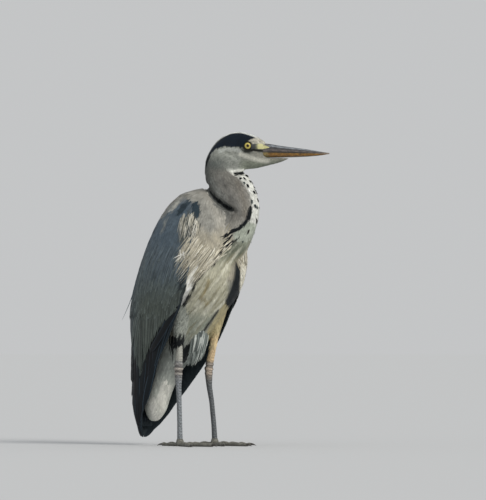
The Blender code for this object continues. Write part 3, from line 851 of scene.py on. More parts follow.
def chart(points, kind):
    """The skin unrolled: a place round the part's own axis, and a place along it."""
    bird = in_bird(points)
    if kind == "head":
        around = np.arctan2(bird[:, 1] - HEAD_Y, 562 - bird[:, 2])
        along = bird[:, 0]
    elif kind == "neck":
        station, front, left = neck_place(bird)
        around, along = np.arctan2(left, front), station
    else:
        u, v, z = in_trunk(bird).T
        around, along = np.arctan2(v, u + 20), z
    flat_map = np.stack((around, along), 1)
    low, high = flat_map.min(0), flat_map.max(0)
    return 0.01 + 0.98 * (flat_map - low) / np.maximum(high - low, 1e-9)


BAKE_PATCH = 0.003  # each vane's share of the piece's bake map


def coat(name, batches, kind, material):
    """Joins batches of vanes into one piece with its colours and its two maps."""
    points, triangles, colours, vane, bake = [], [], [], [], []
    start = 0
    for batch, tints in batches:
        count, each = batch["points"].shape[:2]
        points.append(batch["points"].reshape(-1, 3))
        triangles.append(batch["triangles"] + start)
        start += count * each
        colours.append(tints.reshape(-1, 3))
        own = np.stack((batch["across"], batch["along"]), 1)
        vane.append(np.tile(own, (count, 1)))
        corner = chart(batch["roots"], kind)
        bake.append((corner[:, None, :] + (own[None] - 0.5) * BAKE_PATCH).reshape(-1, 2))
    points, triangles, vane, bake = (np.concatenate(part) for part in (points, triangles, vane, bake))
    mesh = bpy.data.meshes.new(name)
    mesh.vertices.add(len(points))
    mesh.vertices.foreach_set("co", points.astype(np.float32).ravel())
    mesh.loops.add(triangles.size)
    mesh.loops.foreach_set("vertex_index", triangles.astype(np.int32).ravel())
    mesh.polygons.add(len(triangles))
    mesh.polygons.foreach_set("loop_start", np.arange(0, triangles.size, 3, dtype=np.int32))
    mesh.update(calc_edges=True)
    for title, places in (("OFBake", bake), ("vane", vane)):
        layer = mesh.uv_layers.new(name=title)
        layer.data.foreach_set("uv", places[triangles.ravel()].astype(np.float32).ravel())
    set_colours(mesh, np.concatenate(colours))
    mesh.polygons.foreach_set("use_smooth", np.ones(len(triangles), bool))
    mesh.set_sharp_from_angle(angle=math.radians(50))
    mesh.materials.append(material)
    obj = shown(name, mesh)
    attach(obj, "root")


def tinted(batch, base, rng, jitter=0.07, tip=0.0):
    """Each vane's own colour, a little lighter or darker than its neighbours', changing towards its tip."""
    own = base * (1 + rng.normal(0, jitter, (len(base), 1)))
    along = batch["along"][None, :, None]
    return np.clip(own[:, None, :] * (1 + tip * along ** 2), 0.004, 0.95)


triangle_corners = skin_points[skin_faces]
triangle_normals = np.cross(triangle_corners[:, 1] - triangle_corners[:, 0],
                            triangle_corners[:, 2] - triangle_corners[:, 0])
triangle_areas = np.linalg.norm(triangle_normals, axis=1) / 2
triangle_normals = unit(triangle_normals)
triangle_labels = labels_at(triangle_corners.mean(1))


TRIES_PER_ROOT, CELL_SHARE = 3.2, 0.93
CLEAR_ABOVE = 8.0


def scatter(parts, spacing, rng, wanted=None):
    """Roots spread over some parts of the skin about one spacing apart, away from hidden folds."""
    chosen = np.isin(triangle_labels, parts)
    areas = triangle_areas * chosen
    tries = int(TRIES_PER_ROOT * areas.sum() / (spacing * MM) ** 2)
    picks = rng.choice(len(areas), tries, p=areas / areas.sum())
    a, b = rng.random((2, tries, 1))
    over = a + b > 1
    a, b = np.where(over, 1 - a, a), np.where(over, 1 - b, b)
    corners = triangle_corners[picks]
    roots = corners[:, 0] + (corners[:, 1] - corners[:, 0]) * a + (corners[:, 2] - corners[:, 0]) * b
    cells = np.floor(roots / (spacing * CELL_SHARE * MM)).astype(int)
    _, first = np.unique(cells, axis=0, return_index=True)
    roots, ups = roots[first], triangle_normals[picks[first]]
    if wanted is not None:
        keep = wanted(in_bird(roots), ups)
        roots, ups = roots[keep], ups[keep]
    free = []
    for root, up in zip(roots, ups):
        hit = skin_tree.ray_cast(Vector(root + up * 0.4 * MM), Vector(up), CLEAR_ABOVE * MM)
        free.append(hit[0] is None)
    return roots[free], ups[free]


STEEPEST = 0.8  # feathers that would stand up from the skin are left out
WING_OWN = 330.0  # below this height only the wing's own feathers lie on it


def grown(parts, kind, spacing, length, width, lift, seed, wanted=None, shares=(0, 0.35, 0.72, 1),
          outline=(0.55, 1, 0.8, 0), jitter=0.07, tip=0.06, wander=0.12, camber=0.1, columns=3, tree=None):
    """A batch of feathers over some parts. Sizes are in millimetres, as numbers or as rules on the roots."""
    rng = np.random.default_rng(seed)
    roots, ups = scatter(parts, spacing, rng, wanted)
    base_way = lie(kind)
    along_face = np.abs((unit(base_way(roots)) * ups).sum(1)) < STEEPEST
    open_skin = in_crease(in_bird(roots), 4.0) < 0.3
    roots, ups = roots[along_face & open_skin], ups[along_face & open_skin]
    bird = in_bird(roots)
    sizes = [np.broadcast_to(rule(bird) if callable(rule) else rule, len(roots))
             for rule in (length, width, lift)]
    lengths, widths, lifts = (size * MM * rng.uniform(0.85, 1.15, len(roots)) for size in sizes)
    turn = rng.normal(0, wander, (len(roots), 3))
    path = march(tree or skin_tree, roots, ups, lambda p: base_way(p) + turn, lengths, shares)
    if kind == "trunk":
        on_wing = np.array([label.startswith("wing") for label in labels_at(path[0][:, -1])])
        kept = ~on_wing | (bird[:, 2] > WING_OWN)
        path = [part[kept] for part in path]
        widths, lifts = widths[kept], lifts[kept]
    batch = weave(path, widths, lifts, shares, outline, camber, columns)
    showing = path[0][:, len(shares) // 2]
    base = plumage_at(showing, ["wing"] * len(showing) if kind == "wing" else labels_at(showing))
    return batch, tinted(batch, base, rng, jitter, tip)


small_feather = plumage_material("soft contour feather", 0.8, 60.0)
large_feather = plumage_material("firm covert feather", 0.65, 260.0, 0.25)


# ---------------------------------------------------------------- coat of the head
# The face, crown and chin: very small lying feathers, shortest round the eye and at the bill. The lores are
# left bare.
def face_size(bird):
    eye_gap = np.hypot(bird[:, 0] - EYE[0], bird[:, 2] - EYE[2])
    return 2.4 + 3.4 * ease(9, 45, eye_gap) * ease(145, 95, bird[:, 0])


LORE = [
    (109, 580), (118, 581), (132, 582), (136, 586), (150, 586), (150, 550), (136, 553), (131.5, 561),
    (131.5, 569.5), (118, 569), (109, 573)]


def face_feathered(bird, ups):
    ahead = np.where(bird[:, 0] > EYE[0], 10.6, 8.6)
    beside = np.abs(bird[:, 1] - HEAD_Y) > 5
    round_eye = np.hypot(bird[:, 0] - EYE[0], bird[:, 2] - EYE[2]) < ahead
    bare = patch(bird[:, 0], bird[:, 2], LORE, 0.5) > 0.5
    return ~((round_eye | bare) & beside) & (bird[:, 0] < 174)


def face_width(bird):
    return 0.42 * face_size(bird)


coat("coat_head", [grown(["head"], "head", 1.45, face_size, face_width, 0.45, 11, face_feathered,
                         jitter=0.13)], "head", small_feather)


# ---------------------------------------------------------------- coat of the neck
# The folded neck: short soft feathers, pale grey over down, that start in the skin and lie down the neck's
# curve, the white of the foreneck among them.
coat("coat_neck", [grown(["neck_upper", "neck_middle", "neck_lower"], "neck", 2.3, 12.5, 3.0, 1.2, 12,
                         wander=0.13, jitter=0.13)], "neck", small_feather)


# ---------------------------------------------------------------- coat of the trunk
# The breast and belly in longer, softer feathers, the mantle between the wings in broader ones, and the
# undertail in long overlapping ones, all started in the skin.
def in_front(bird, ups):
    u, v, z = in_trunk(bird).T
    return (u > np.interp(z, [200, 300, 450], [-70, -20, 10])) & (z > 200)


def on_back(bird, ups):
    return ~in_front(bird, ups) & (bird[:, 2] > 200)


def at_vent(bird, ups):
    return bird[:, 2] <= 206


def undertail_length(bird):
    return 14 + 20 * ease(46, 90, bird[:, 2])


def breast_length(bird):
    return 17 + 9 * ease(390, 340, bird[:, 2])


coat("coat_breast", [grown(["trunk"], "trunk", 3.0, breast_length, 3.8, 1.5, 13, in_front, jitter=0.09,
                           wander=0.1)], "trunk", small_feather)
coat("coat_mantle", [grown(["trunk"], "trunk", 4.2, 24, 9, 1.6, 14, on_back, columns=5, jitter=0.12)],
     "trunk", large_feather)
coat("coat_undertail", [grown(["trunk"], "trunk", 4.6, undertail_length, 8, 1.6, 15, at_vent, columns=5,
                              jitter=0.05, shares=(0, 0.2, 0.45, 0.7, 0.88, 1),
                              outline=(0.5, 0.9, 1, 0.95, 0.7, 0))],
     "trunk", large_feather)


# ---------------------------------------------------------------- coat of the thighs
# The feathered tibias: short hair-like feathers that start in the skin of each thigh and lie down to the
# shank, grey on the near leg and buff on the far one.
def tibia_length(bird):
    return 11 + 9 * ease(226, 206, bird[:, 2])


def above_shank(bird, ups):
    return bird[:, 2] > 200


coat("coat_thighs", [grown(["thigh_right", "thigh_left"], "trunk", 2.3, tibia_length, 2.4, 1.3, 16,
                           above_shank, jitter=0.15, wander=0.16)], "trunk", small_feather)


# ---------------------------------------------------------------- wings: flight feathers and tail
# The folded primaries and the closed tail: stiff black vanes with pale-edged shafts, laid over a bed of the
# same feathers packed close beneath them.
def black_finish(name):
    """Stiff black vane: satin keratin that thins to a pale line along both edges."""
    material = finish(name, 0.55, Specular_IOR_Level=0.22)
    colour, _, away = feather_colour(material)
    edge = add_node(material, "MapRange", {"Value": away, "From Min": 0.38, "From Max": 0.48,
                                           "To Min": 1.0, "To Max": 8.0})
    shade = add_node(material, "VectorMath", {0: colour, 1: edge}, operation="MULTIPLY")
    return wear(material, shade.outputs[0])


flight_finish = black_finish("black flight feather")
bed_finish = mottled(finish("packed flight feathers", 0.6, Specular_IOR_Level=0.2), 400.0,
                     ("#1c2327", "#3a444a"), (1, 1, 0.06))
BED_SPARE, BED_VOXEL = 0.15, 1.1
beds = {}
for node in ("primaries_right", "primaries_left", "tail"):
    bed = remeshed(node + "_bed", [merged(node, BED_SPARE)], BED_VOXEL, 3)
    bed.data.materials.append(bed_finish)
    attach(bed, "root")
    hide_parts(node)
    beds[node] = bed

outer_points, outer_faces = skin_points, skin_faces
for bed in beds.values():
    outer_faces = np.concatenate((outer_faces, fans(bed.data) + len(outer_points)))
    outer_points = np.concatenate((outer_points, vertex_array(bed.data)))
outer_tree = BVHTree.FromPolygons(outer_points.tolist(), outer_faces.tolist())
WELL_RIGHT, NEAR_SKIN = -600, -70


def seen(tree, spots):
    """Points of a surface met from the bird's right at some x and z, with their normals."""
    places, normals = [], []
    for x, z in spots:
        hit = tree.ray_cast(Vector(from_bird((x, WELL_RIGHT, z))), Vector((0, 1, 0)))
        if hit[0] is None:
            hit = tree.find_nearest(Vector(from_bird((x, NEAR_SKIN, z))))
        places.append(hit[0])
        normals.append(hit[1])
    return np.array(places), np.array(normals)


def trunk_mirror(bird):
    return from_trunk(in_trunk(bird) * (1, -1, 1))


def mirrored(tree, points, image=None):
    """The nearest places of a surface to the points' mirror images on the bird's other side."""
    return nearest(tree, from_bird((image or trunk_mirror)(in_bird(points))))


LONG_SHARES = (0, 0.06, 0.15, 0.27, 0.4, 0.53, 0.66, 0.78, 0.87, 0.94, 0.98, 1)
QUILL_OUTLINE = (0.4, 0.75, 0.95, 1, 1, 1, 0.97, 0.9, 0.78, 0.58, 0.36, 0)


def plumes(tree, roots, ups, ends, widths, lifts, colours, rng, shares=LONG_SHARES, outline=QUILL_OUTLINE,
           columns=3, jitter=0.06):
    """Long vanes that each run over a surface from a root to an end."""
    lengths = np.linalg.norm(ends - roots, axis=1)
    whole = ends - roots
    place, up, way = march(tree, roots, ups, lambda p: unit(ends - p + whole * 0.05), lengths, shares)
    for _ in range(3):
        place[:, 1:-1] = place[:, :-2] * 0.25 + place[:, 1:-1] * 0.5 + place[:, 2:] * 0.25
        up[:, 1:-1] = unit(up[:, :-2] * 0.25 + up[:, 1:-1] * 0.5 + up[:, 2:] * 0.25)
    batch = weave((place, up, way), widths, lifts, shares, outline, 0.08, columns)
    return batch, tinted(batch, colours, rng, jitter)


PRIMARY_ROOTS = [
    (-120.6, 186), (-115.8, 170), (-110, 155), (-104.2, 147), (-96.5, 168), (-88.8, 187), (-81.1, 205),
    (-73.3, 220), (-65.6, 234), (-57.9, 245), (-50.2, 253), (-42.5, 259), (-36.7, 266), (-31, 274)]
PRIMARY_WIDTH, TAIL_LIFT = 13, 1.4
PRIMARY_TIPS = [
    (-112.9, 52), (-108.1, 36.7), (-105.2, 23), (-103.3, 16), (-100.4, 17.4), (-97.5, 21), (-94.6, 29),
    (-92.6, 42.5), (-91.7, 62), (-89.7, 85), (-86.9, 106), (-81.1, 127.4), (-73.3, 150.5), (-61.8, 181.4)]
rng = np.random.default_rng(31)
for side in SIDES:
    roots, ups = seen(outer_tree, PRIMARY_ROOTS)
    ends, _ = seen(outer_tree, PRIMARY_TIPS)
    if side == "left":
        roots, ups = mirrored(outer_tree, roots)
        ends, _ = mirrored(outer_tree, ends)
    count = len(roots)
    colours = plain(count, "#0e151a") * rng.uniform(0.65, 1.3, (count, 1))
    lifts = np.linspace(2.6, 0.8, count) * MM
    batch = plumes(outer_tree, roots, ups, ends, np.full(count, PRIMARY_WIDTH * MM), lifts, colours, rng,
                   columns=7)
    coat("primaries_" + side + "_vanes", [batch], "trunk", flight_finish)

tail_tree = tree_of(beds["tail"])
roots, ends = [], []
for facing in (-1, 1):
    for i in range(6):
        across = (i - 2.5) / 2.5
        roots.append((-112 + facing * 6, across * 12, 170))
        ends.append((-120 + facing * 4, across * 13, 42 + 6 * abs(across)))
roots, ups = nearest(tail_tree, from_bird(from_trunk(roots)))
ends, _ = nearest(tail_tree, from_bird(from_trunk(ends)))
count = len(roots)
batch = plumes(tail_tree, roots, ups, ends, np.full(count, PRIMARY_WIDTH * MM),
               np.full(count, TAIL_LIFT * MM),
               plain(count, "#13191e") * rng.uniform(0.85, 1.4, (count, 1)), rng, columns=5)
coat("tail_vanes", [batch], "trunk", flight_finish)


# ---------------------------------------------------------------- wings: coverts
# The folded wings' grey coverts: shingled vanes, small at the bend of the wing and longer lower down, over
# the long pale-edged tertials. All of them run to the wing's tip and end along the slanting lines of a V.
SHORTEST, RUMP_LENGTH = 8.0, 34.0


def covert_length(bird):
    wanted = np.interp(bird[:, 2], [130, 200, 300, 380, 430, 480], [40, 46, 50, 40, 26, 15])
    way = unit(lie_wing(bird))
    ragged = 288 + 44 * np.sin(plan_x(bird) * 2.3 + bird[:, 2] * 1.7)
    tertials = (np.abs(in_trunk(bird)[:, 1]) > 24) * ragged
    length = np.full(len(bird), SHORTEST)
    for reach in range(10, 64, 3):
        end = bird + way * reach
        clear = (over_edge(end) > 0) & (end[:, 2] > tertials)
        length = np.where(clear & (length > reach - 4), reach, length)
    u, v, _ = in_trunk(bird).T
    rump = (over_edge(bird) < 4) & (np.abs(v) < np.interp(u, (-105, -95), (52, 30)))
    return np.where(rump, RUMP_LENGTH, np.minimum(length, wanted))


def covert_width(bird):
    return np.interp(bird[:, 2], [150, 300, 400, 480], [7, 7, 7, 5.5])


def both_sides(tree, starts, ends, image=None):
    """Roots, normals and ends on the bird's right as seen there, and their mirror images on its left."""
    roots, ups = seen(tree, starts)
    tips, _ = seen(tree, ends)
    other_roots, other_ups = mirrored(tree, roots, image)
    other_tips, _ = mirrored(tree, tips, image)
    return [np.concatenate(pair) for pair in ((roots, other_roots), (ups, other_ups), (tips, other_tips))]


def paired(tree, starts, ends, widths, lifts, colours, rng, image=None, **style):
    """Plumes between spots seen on the bird's right, and their mirror images on its left."""
    roots, ups, tips = both_sides(tree, starts, ends, image)
    widths, lifts = (np.tile(np.broadcast_to(sizes, len(starts)), 2) * MM for sizes in (widths, lifts))
    return plumes(tree, roots, ups, tips, widths, lifts, np.tile(colours, (2, 1)), rng, **style)


LONG_LEAF = (0.5, 0.85, 1, 1, 1, 1, 0.97, 0.9, 0.76, 0.5, 0.3, 0)
LEAF_SHARES = (0, 0.2, 0.42, 0.64, 0.82, 0.94, 1)
LEAF_OUTLINE = (0.5, 0.9, 1, 0.95, 0.75, 0.42, 0)


def outer_face(bird, ups):
    u, v, _ = in_trunk(bird).T
    out = trunk_ways(np.stack((u + 20, v, np.zeros(len(u))), 1))
    return (unit(out) * ups).sum(1) > 0.3


def coverted(bird, ups):
    return outer_face(bird, ups) & (covert_length(bird) > SHORTEST + 1)


TERTIAL_ENDS_X = (-122, -105, -83, -58, -31)
TERTIAL_STARTS_X = (-118, -90, -58, -38, -24)
TERTIALS, TERTIAL_WIDTH = 19, 9.5
tertial_finish = plumage_material("long tertial feather", 0.65, 500.0, 0.6)
rng = np.random.default_rng(43)
end_x = np.linspace(TERTIAL_ENDS_X[0], TERTIAL_ENDS_X[-1], TERTIALS)
ends = np.stack((end_x, np.interp(end_x, *np.array(COVERT_EDGE).T)), 1)
starts = np.stack((np.interp(end_x, TERTIAL_ENDS_X, TERTIAL_STARTS_X), np.linspace(352, 345, TERTIALS)), 1)
roots, ups, tips = both_sides(outer_tree, starts, ends)
base = plumage_at(roots * 0.4 + tips * 0.6, ["wing"] * len(roots)) * 0.5 + plain(len(roots), "#555c57") * 0.5
widths = np.full(len(roots), TERTIAL_WIDTH * MM)
lifts = np.tile(np.linspace(2.0, 1.5, TERTIALS), 2) * MM
tertials = plumes(outer_tree, roots, ups, tips, widths, lifts, base, rng, outline=LONG_LEAF, columns=7,
                  jitter=0.1)
coat("tertials", [tertials], "wing", tertial_finish)
for side, seed in (("right", 41), ("left", 42)):
    large = grown(["wing_" + side], "wing", 4.4, covert_length, covert_width, 1.6, seed, coverted,
                  shares=LEAF_SHARES, outline=LEAF_OUTLINE, jitter=0.06, tip=0.04, wander=0.04,
                  tree=outer_tree, camber=0.07)
    coat("coverts_" + side, [large], "wing", large_feather)


# ---------------------------------------------------------------- long plumes
# The loose lance-shaped plumes of a breeding heron: over the shoulders, and from the lower neck down over the
# breast and the bend of the wing.
plume_finish = plumage_material("loose lanceolate plume", 0.75, 400.0)
LANCE_OUTLINE = (0.5, 0.85, 1, 0.95, 0.85, 0.72, 0.6, 0.46, 0.34, 0.22, 0.12, 0)
rng = np.random.default_rng(51)


def between(line, shares):
    """Points on a line of marks at some shares of the way from its first to its last."""
    knots = np.linspace(0, 1, len(line))
    return np.stack([np.interp(shares, knots, np.array(line)[:, k]) for k in (0, 1)], 1)


count = 95
along, wide = rng.random((2, count))
starts = np.stack((-52 + 50 * along + rng.normal(0, 3, count), 428 - 14 * along + 26 * (wide - 0.5)), 1)
ends = starts + np.stack((-14 - 22 * wide - 18 * (1 - along), -62 - 45 * rng.random(count)), 1)
tones = rng.choice([0.8, 0.9, 1.0, 1.1, 1.2], count, p=(0.2, 0.25, 0.25, 0.2, 0.1))
scapulars = paired(outer_tree, starts, ends, rng.uniform(3.0, 5.5, count), rng.uniform(1.6, 3.4, count),
                   plain(count, "#66727a") * tones[:, None], rng, outline=LANCE_OUTLINE)
loose_ends = from_bird([(-112, -20, 322), (-141, -16, 242)])
share = np.array(LONG_SHARES)
bowed = np.outer(np.sin(math.pi * share), (3 * MM, 0, 0))
place = loose_ends[0] + (loose_ends[1] - loose_ends[0]) * share[:, None] + bowed
rightwards = np.tile((0.0, -1, 0), (len(share), 1))
path = [part[None] for part in (place, rightwards, unit(np.gradient(place, axis=0)))]
loose = weave(path, np.array([1.8 * MM]), np.zeros(1), LONG_SHARES, LANCE_OUTLINE)
loose_plume = loose, tinted(loose, plain(1, "#4a555c"), rng)
coat("scapular_plumes", [scapulars, loose_plume], "trunk", plume_finish)

PLUME_STARTS = [
    (8, 424), (22, 424), (36, 426), (48, 424), (60, 420), (68, 412), (70, 402), (66, 392), (60, 388)]
PLUME_ENDS = [
    (-32, 364), (-34, 347), (-38, 326), (-34, 314), (-20, 308), (-9, 306), (3, 320), (14, 334), (26, 342)]
count = 300
share = np.sort(rng.random(count))
reach = rng.uniform(0.6, 1.08, count)[:, None]
starts = between(PLUME_STARTS, share) + rng.normal(0, 6, (count, 2))
ends = starts + (between(PLUME_ENDS, share) - starts) * reach + rng.normal(0, 3.5, (count, 2))
tones = rng.choice(["#cbc3ae", "#dfd9c7", "#99937f", "#efebdd", "#6b685c"], count,
                   p=(0.34, 0.28, 0.16, 0.14, 0.08))
breast_plumes = paired(outer_tree, starts, ends, rng.uniform(1.2, 2.4, count), rng.uniform(2.0, 5.0, count),
                       inks(tones), rng, outline=LANCE_OUTLINE)
coat("breast_plumes", [breast_plumes], "trunk", plume_finish)

TUFT_STARTS = [(-18, 457), (-10, 459), (-2, 455), (6, 446), (9, 436)]
TUFT_ENDS = [(-29, 400), (-22, 390), (-14, 386), (-6, 392), (2, 400)]
LONE_STARTS = [(-27, 388), (-2, 380), (-5, 384), (-30, 386)]
LONE_ENDS = [(-15, 358), (-38, 359), (-34, 352), (-22, 358)]
count, lone = 110, len(LONE_STARTS)
share = np.sort(rng.random(count))
starts = between(TUFT_STARTS, share) + rng.normal(0, 3, (count, 2))
reach = rng.uniform(0.45, 1.0, count)[:, None]
run = between(TUFT_ENDS, share) - between(TUFT_STARTS, share)
ends = starts + run * reach + rng.normal(0, 3, (count, 2))
tones = list(rng.choice(["#cfcab9", "#e6e3d8", "#8f8e83", "#363c3e"], count, p=(0.36, 0.34, 0.17, 0.13)))
widths = np.append(rng.uniform(1.2, 2.2, count), [3.2] * lone)
lifts = np.append(rng.uniform(2.4, 5.2, count), [7.5] * lone)
starts, ends = np.concatenate((starts, LONE_STARTS)), np.concatenate((ends, LONE_ENDS))
tuft = paired(outer_tree, starts, ends, widths, lifts, inks(tones + ["#f2f0e8"] * lone), rng,
              outline=LANCE_OUTLINE)
coat("shoulder_tufts", [tuft], "trunk", plume_finish)


# ---------------------------------------------------------------- black streaks and crest
# The black-centred feathers that run down either side of the white foreneck, the loose plumes that hang from
# vent and shank, and the short dark crest that lies on the nape.
PLUME_SPLIT = [(79, 411), (70, 402), (60, 393), (50, 384)]
INK, BROWN, FADED, DUSKY = "#0f1418", "#231f1b", "#444c4b", "#262d2f"
DASH_OUTLINE = (0.5, 0.95, 1, 1, 0.85, 0.5, 0)
DASHES = [((75.3, 518.2), (83, 522.1), 3.4, INK), ((83, 522.1), (92.6, 522.1), 3.4, INK),
          ((92.6, 521.1), (104.2, 514.3), 2.6, INK), ((82, 513.9), (89.4, 512.8), 4.2, INK),
          ((91.7, 516.1), (96.5, 511.5), 3.2, INK), ((93.4, 509.5), (95.7, 501.8), 3.6, FADED),
          ((98.4, 506.6), (102.3, 496), 3.8, INK), ((102.3, 513.4), (107.1, 504.7), 2.8, INK),
          ((108, 507.6), (112, 503.7), 2.2, FADED), ((110, 501.8), (114.4, 495), 3.2, BROWN),
          ((109.2, 494), (113.9, 484.4), 4.6, INK), ((118.5, 499.9), (119.3, 488.3), 2.4, FADED),
          ((119.3, 488.3), (120.4, 484.4), 2.4, BROWN), ((117.2, 481.5), (120.2, 469), 3.8, BROWN),
          ((109, 479), (109, 465), 4.4, FADED), ((113.9, 469), (115.4, 457.4), 4.6, DUSKY),
          ((122.7, 465), (122.6, 455.5), 2.4, FADED), ((118.3, 444.5), (116.6, 428.5), 3.4, BROWN),
          ((108, 421.5), (100.9, 408.2), 3.2, BROWN), ((92.6, 398), (91.5, 391), 2.6, FADED)]
starts, ends = (np.array([dash[k] for dash in DASHES], float) for k in (0, 1))
widths = np.array([width for _, _, width, _ in DASHES])
dash_inks = inks(ink for *_, ink in DASHES)
rng = np.random.default_rng(61)


def neck_image(bird):
    return neck_mirror(bird)[0]


streak_batches = []
for _ in range(3):
    slips = [part + rng.normal(0, 0.45, part.shape) for part in (starts, ends + (ends - starts) * 0.12)]
    streak_batches.append(paired(skin_tree, *slips, widths * 0.95, 2.6, dash_inks, rng, neck_image,
                                 shares=LEAF_SHARES, outline=DASH_OUTLINE, jitter=0.12))

for line, low, high, count, spread, size in ((INK_AND_SHADOW_LINES[0], 0.12, 1.0, 42, 2.0, 20),
                                             (INK_AND_SHADOW_LINES[1], 0, 0.3, 20, 1.6, 22),
                                             (PLUME_SPLIT, 0, 0.5, 14, 1.2, 20)):
    share = np.linspace(low, high - 0.03, count)
    starts = between(line, share) + rng.normal(0, spread / 2, (count, 2))
    heading = between(line, np.minimum(share + 0.08, 1)) - between(line, share - 0.02)
    ends = starts + unit(heading) * (size * rng.uniform(0.7, 1.15, count))[:, None]
    ends = ends + rng.normal(0, spread, (count, 2))
    widths = rng.uniform(1.8, 3.2, count)
    streak_batches.append(paired(skin_tree, starts, ends, widths, 2.8, plain(count, "#10151a"), rng,
                                 neck_image, outline=LANCE_OUTLINE, jitter=0.15))


def hanging(begin, end, count, tones, width, depth):
    """Loose plumes that hang free of the body, from a line of roots to a line of tips at some depth."""
    share = rng.random(count)
    spots = between(begin, share) + rng.normal(0, 2.5, (count, 2))
    roots, ups = seen(skin_tree, spots)
    reach = rng.uniform(0.55, 1.05, (count, 1))
    fall = between(begin, share) + (between(end, share) - between(begin, share)) * reach
    sides = in_bird(roots)[:, 1] + (depth - in_bird(roots)[:, 1]) * reach[:, 0] + rng.normal(0, 2.0, count)
    tips = from_bird(np.stack((fall[:, 0], sides, fall[:, 1]), 1))
    colours = inks(rng.choice(tones, count))
    near = np.linalg.norm(in_bird(roots)[:, (0, 2)] - spots, axis=1) < 3
    roots, ups, tips, colours = roots[near], ups[near], tips[near], colours[near]
    share = np.array(LONG_SHARES)[None, :, None]
    place = roots[:, None] + (tips - roots)[:, None] * share + ups[:, None] * np.sin(math.pi * share) * 3 * MM
    up = np.repeat(ups[:, None], len(LONG_SHARES), 1)
    batch = weave((place, up, unit(np.gradient(place, axis=1))), np.full(len(roots), width * MM),
                  np.full(len(roots), 1.2 * MM), LONG_SHARES, LANCE_OUTLINE)
    return batch, tinted(batch, colours, rng)


VENT_STARTS = [(0, 208), (8, 216), (15, 222), (22, 216), (26, 208)]
VENT_ENDS = [(-16, 158), (-8, 152), (1, 157), (10, 165), (18, 176)]
SHANK_STARTS = [(-48, 216), (-43, 212), (-38, 210)]
SHANK_ENDS = [(-47, 176), (-42, 158), (-39, 152)]
loose_vent = hanging(VENT_STARTS, VENT_ENDS, 150, ("#7b837f", "#99a19c", "#59605e", "#c0c5bf"), 4.6, 2.0)
shank_fringe = hanging(SHANK_STARTS, SHANK_ENDS, 14, ("#14181a", "#14181a", "#24292b", "#0d1012"), 3.4, -40.0)
coat("vent_plumes", [loose_vent, shank_fringe], "trunk", plume_finish)
coat("neck_streaks", streak_batches, "neck", small_feather)

starts = [(32, 568), (30, 566), (33, 563), (27, 560)]
ends = [(15.5, 532), (14.5, 528), (17, 534), (16, 524)]
roots, ups = seen(skin_tree, starts)
tips, _ = seen(skin_tree, ends)
other_roots, other_tips = roots.copy(), tips.copy()
for part in (other_roots, other_tips):
    part[:, 1] = 2 * from_bird((0, HEAD_Y, 0))[1] - part[:, 1]
ups = np.concatenate((ups, nearest(skin_tree, other_roots)[1]))
roots, tips = np.concatenate((roots, other_roots)), np.concatenate((tips, other_tips))
sizes = np.full(len(roots), 3.2 * MM)
crest = plumes(skin_tree, roots, ups, tips, sizes, sizes, plain(len(roots), "#11161a"), rng,
               outline=LANCE_OUTLINE)
coat("crest_plumes", [crest], "head", plume_finish)


# ---------------------------------------------------------------- eyes
# Glass eyes set in the skull's sockets: pale yellow iris, round black pupil, polished cornea, and a ring of
# dark bare lid round each.
LOOK = {"right": unit(np.array((0.12, -1, 0.04))), "left": unit(np.array((0.12, 1, 0.04)))}


def eye_glass(side):
    """Painted iris under polished glass: rings of tone by the angle from the way that the eye looks."""
    material = finish("eye glass " + side, 0.3, Specular_IOR_Level=0.25, Coat_Weight=0.35,
                      Coat_Roughness=0.03)
    place = add_node(material, "TexCoord").outputs["Object"]
    centred = add_node(material, "VectorMath", {0: place, 1: tuple(eye_centre(side))}, operation="SUBTRACT")
    ray = add_node(material, "VectorMath", {0: centred}, operation="NORMALIZE")
    turned = add_node(material, "VectorMath", {0: ray, 1: tuple(LOOK[side])}, operation="DOT_PRODUCT")
    iris = add_node(material, "ValToRGB", {"Fac": turned.outputs["Value"]}, [
        (0.0, "#0b0c0d"), (0.6, "#0d0d0c"), (0.65, "#6b5c22"), (0.72, "#b5a446"), (0.86, "#cfc46c"),
        (0.94, "#8a6f2e"), (0.962, "#120f0a"), (1.0, "#050505")])
    return wear(material, iris.outputs["Color"])


lid_finish = mottled(finish("dark bare lid", 0.7, Specular_IOR_Level=0.15), 900.0, ("#060708", "#171815"))


def ring_mesh(name, rings, closed=False):
    """A skin over rings of points: capped at its ends, or joined round into a loop."""
    bm = bmesh.new()
    loops = [[bm.verts.new(point) for point in ring] for ring in rings]
    pairs = list(zip(loops, loops[1:] + loops[:1])) if closed else list(zip(loops, loops[1:]))
    for first, second in pairs:
        for i in range(len(first)):
            j = (i + 1) % len(first)
            bm.faces.new((first[i], first[j], second[j], second[i]))
    if not closed:
        bm.faces.new(list(reversed(loops[0])))
        bm.faces.new(loops[-1])
    bmesh.ops.recalc_face_normals(bm, faces=bm.faces)
    return mesh_of(bm, name)


def smooth_piece(name, mesh, material, sharp=40):
    mesh.polygons.foreach_set("use_smooth", [True] * len(mesh.polygons))
    mesh.set_sharp_from_angle(angle=math.radians(sharp))
    mesh.materials.append(material)
    obj = shown(name, mesh)
    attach(obj, "root")
    return obj


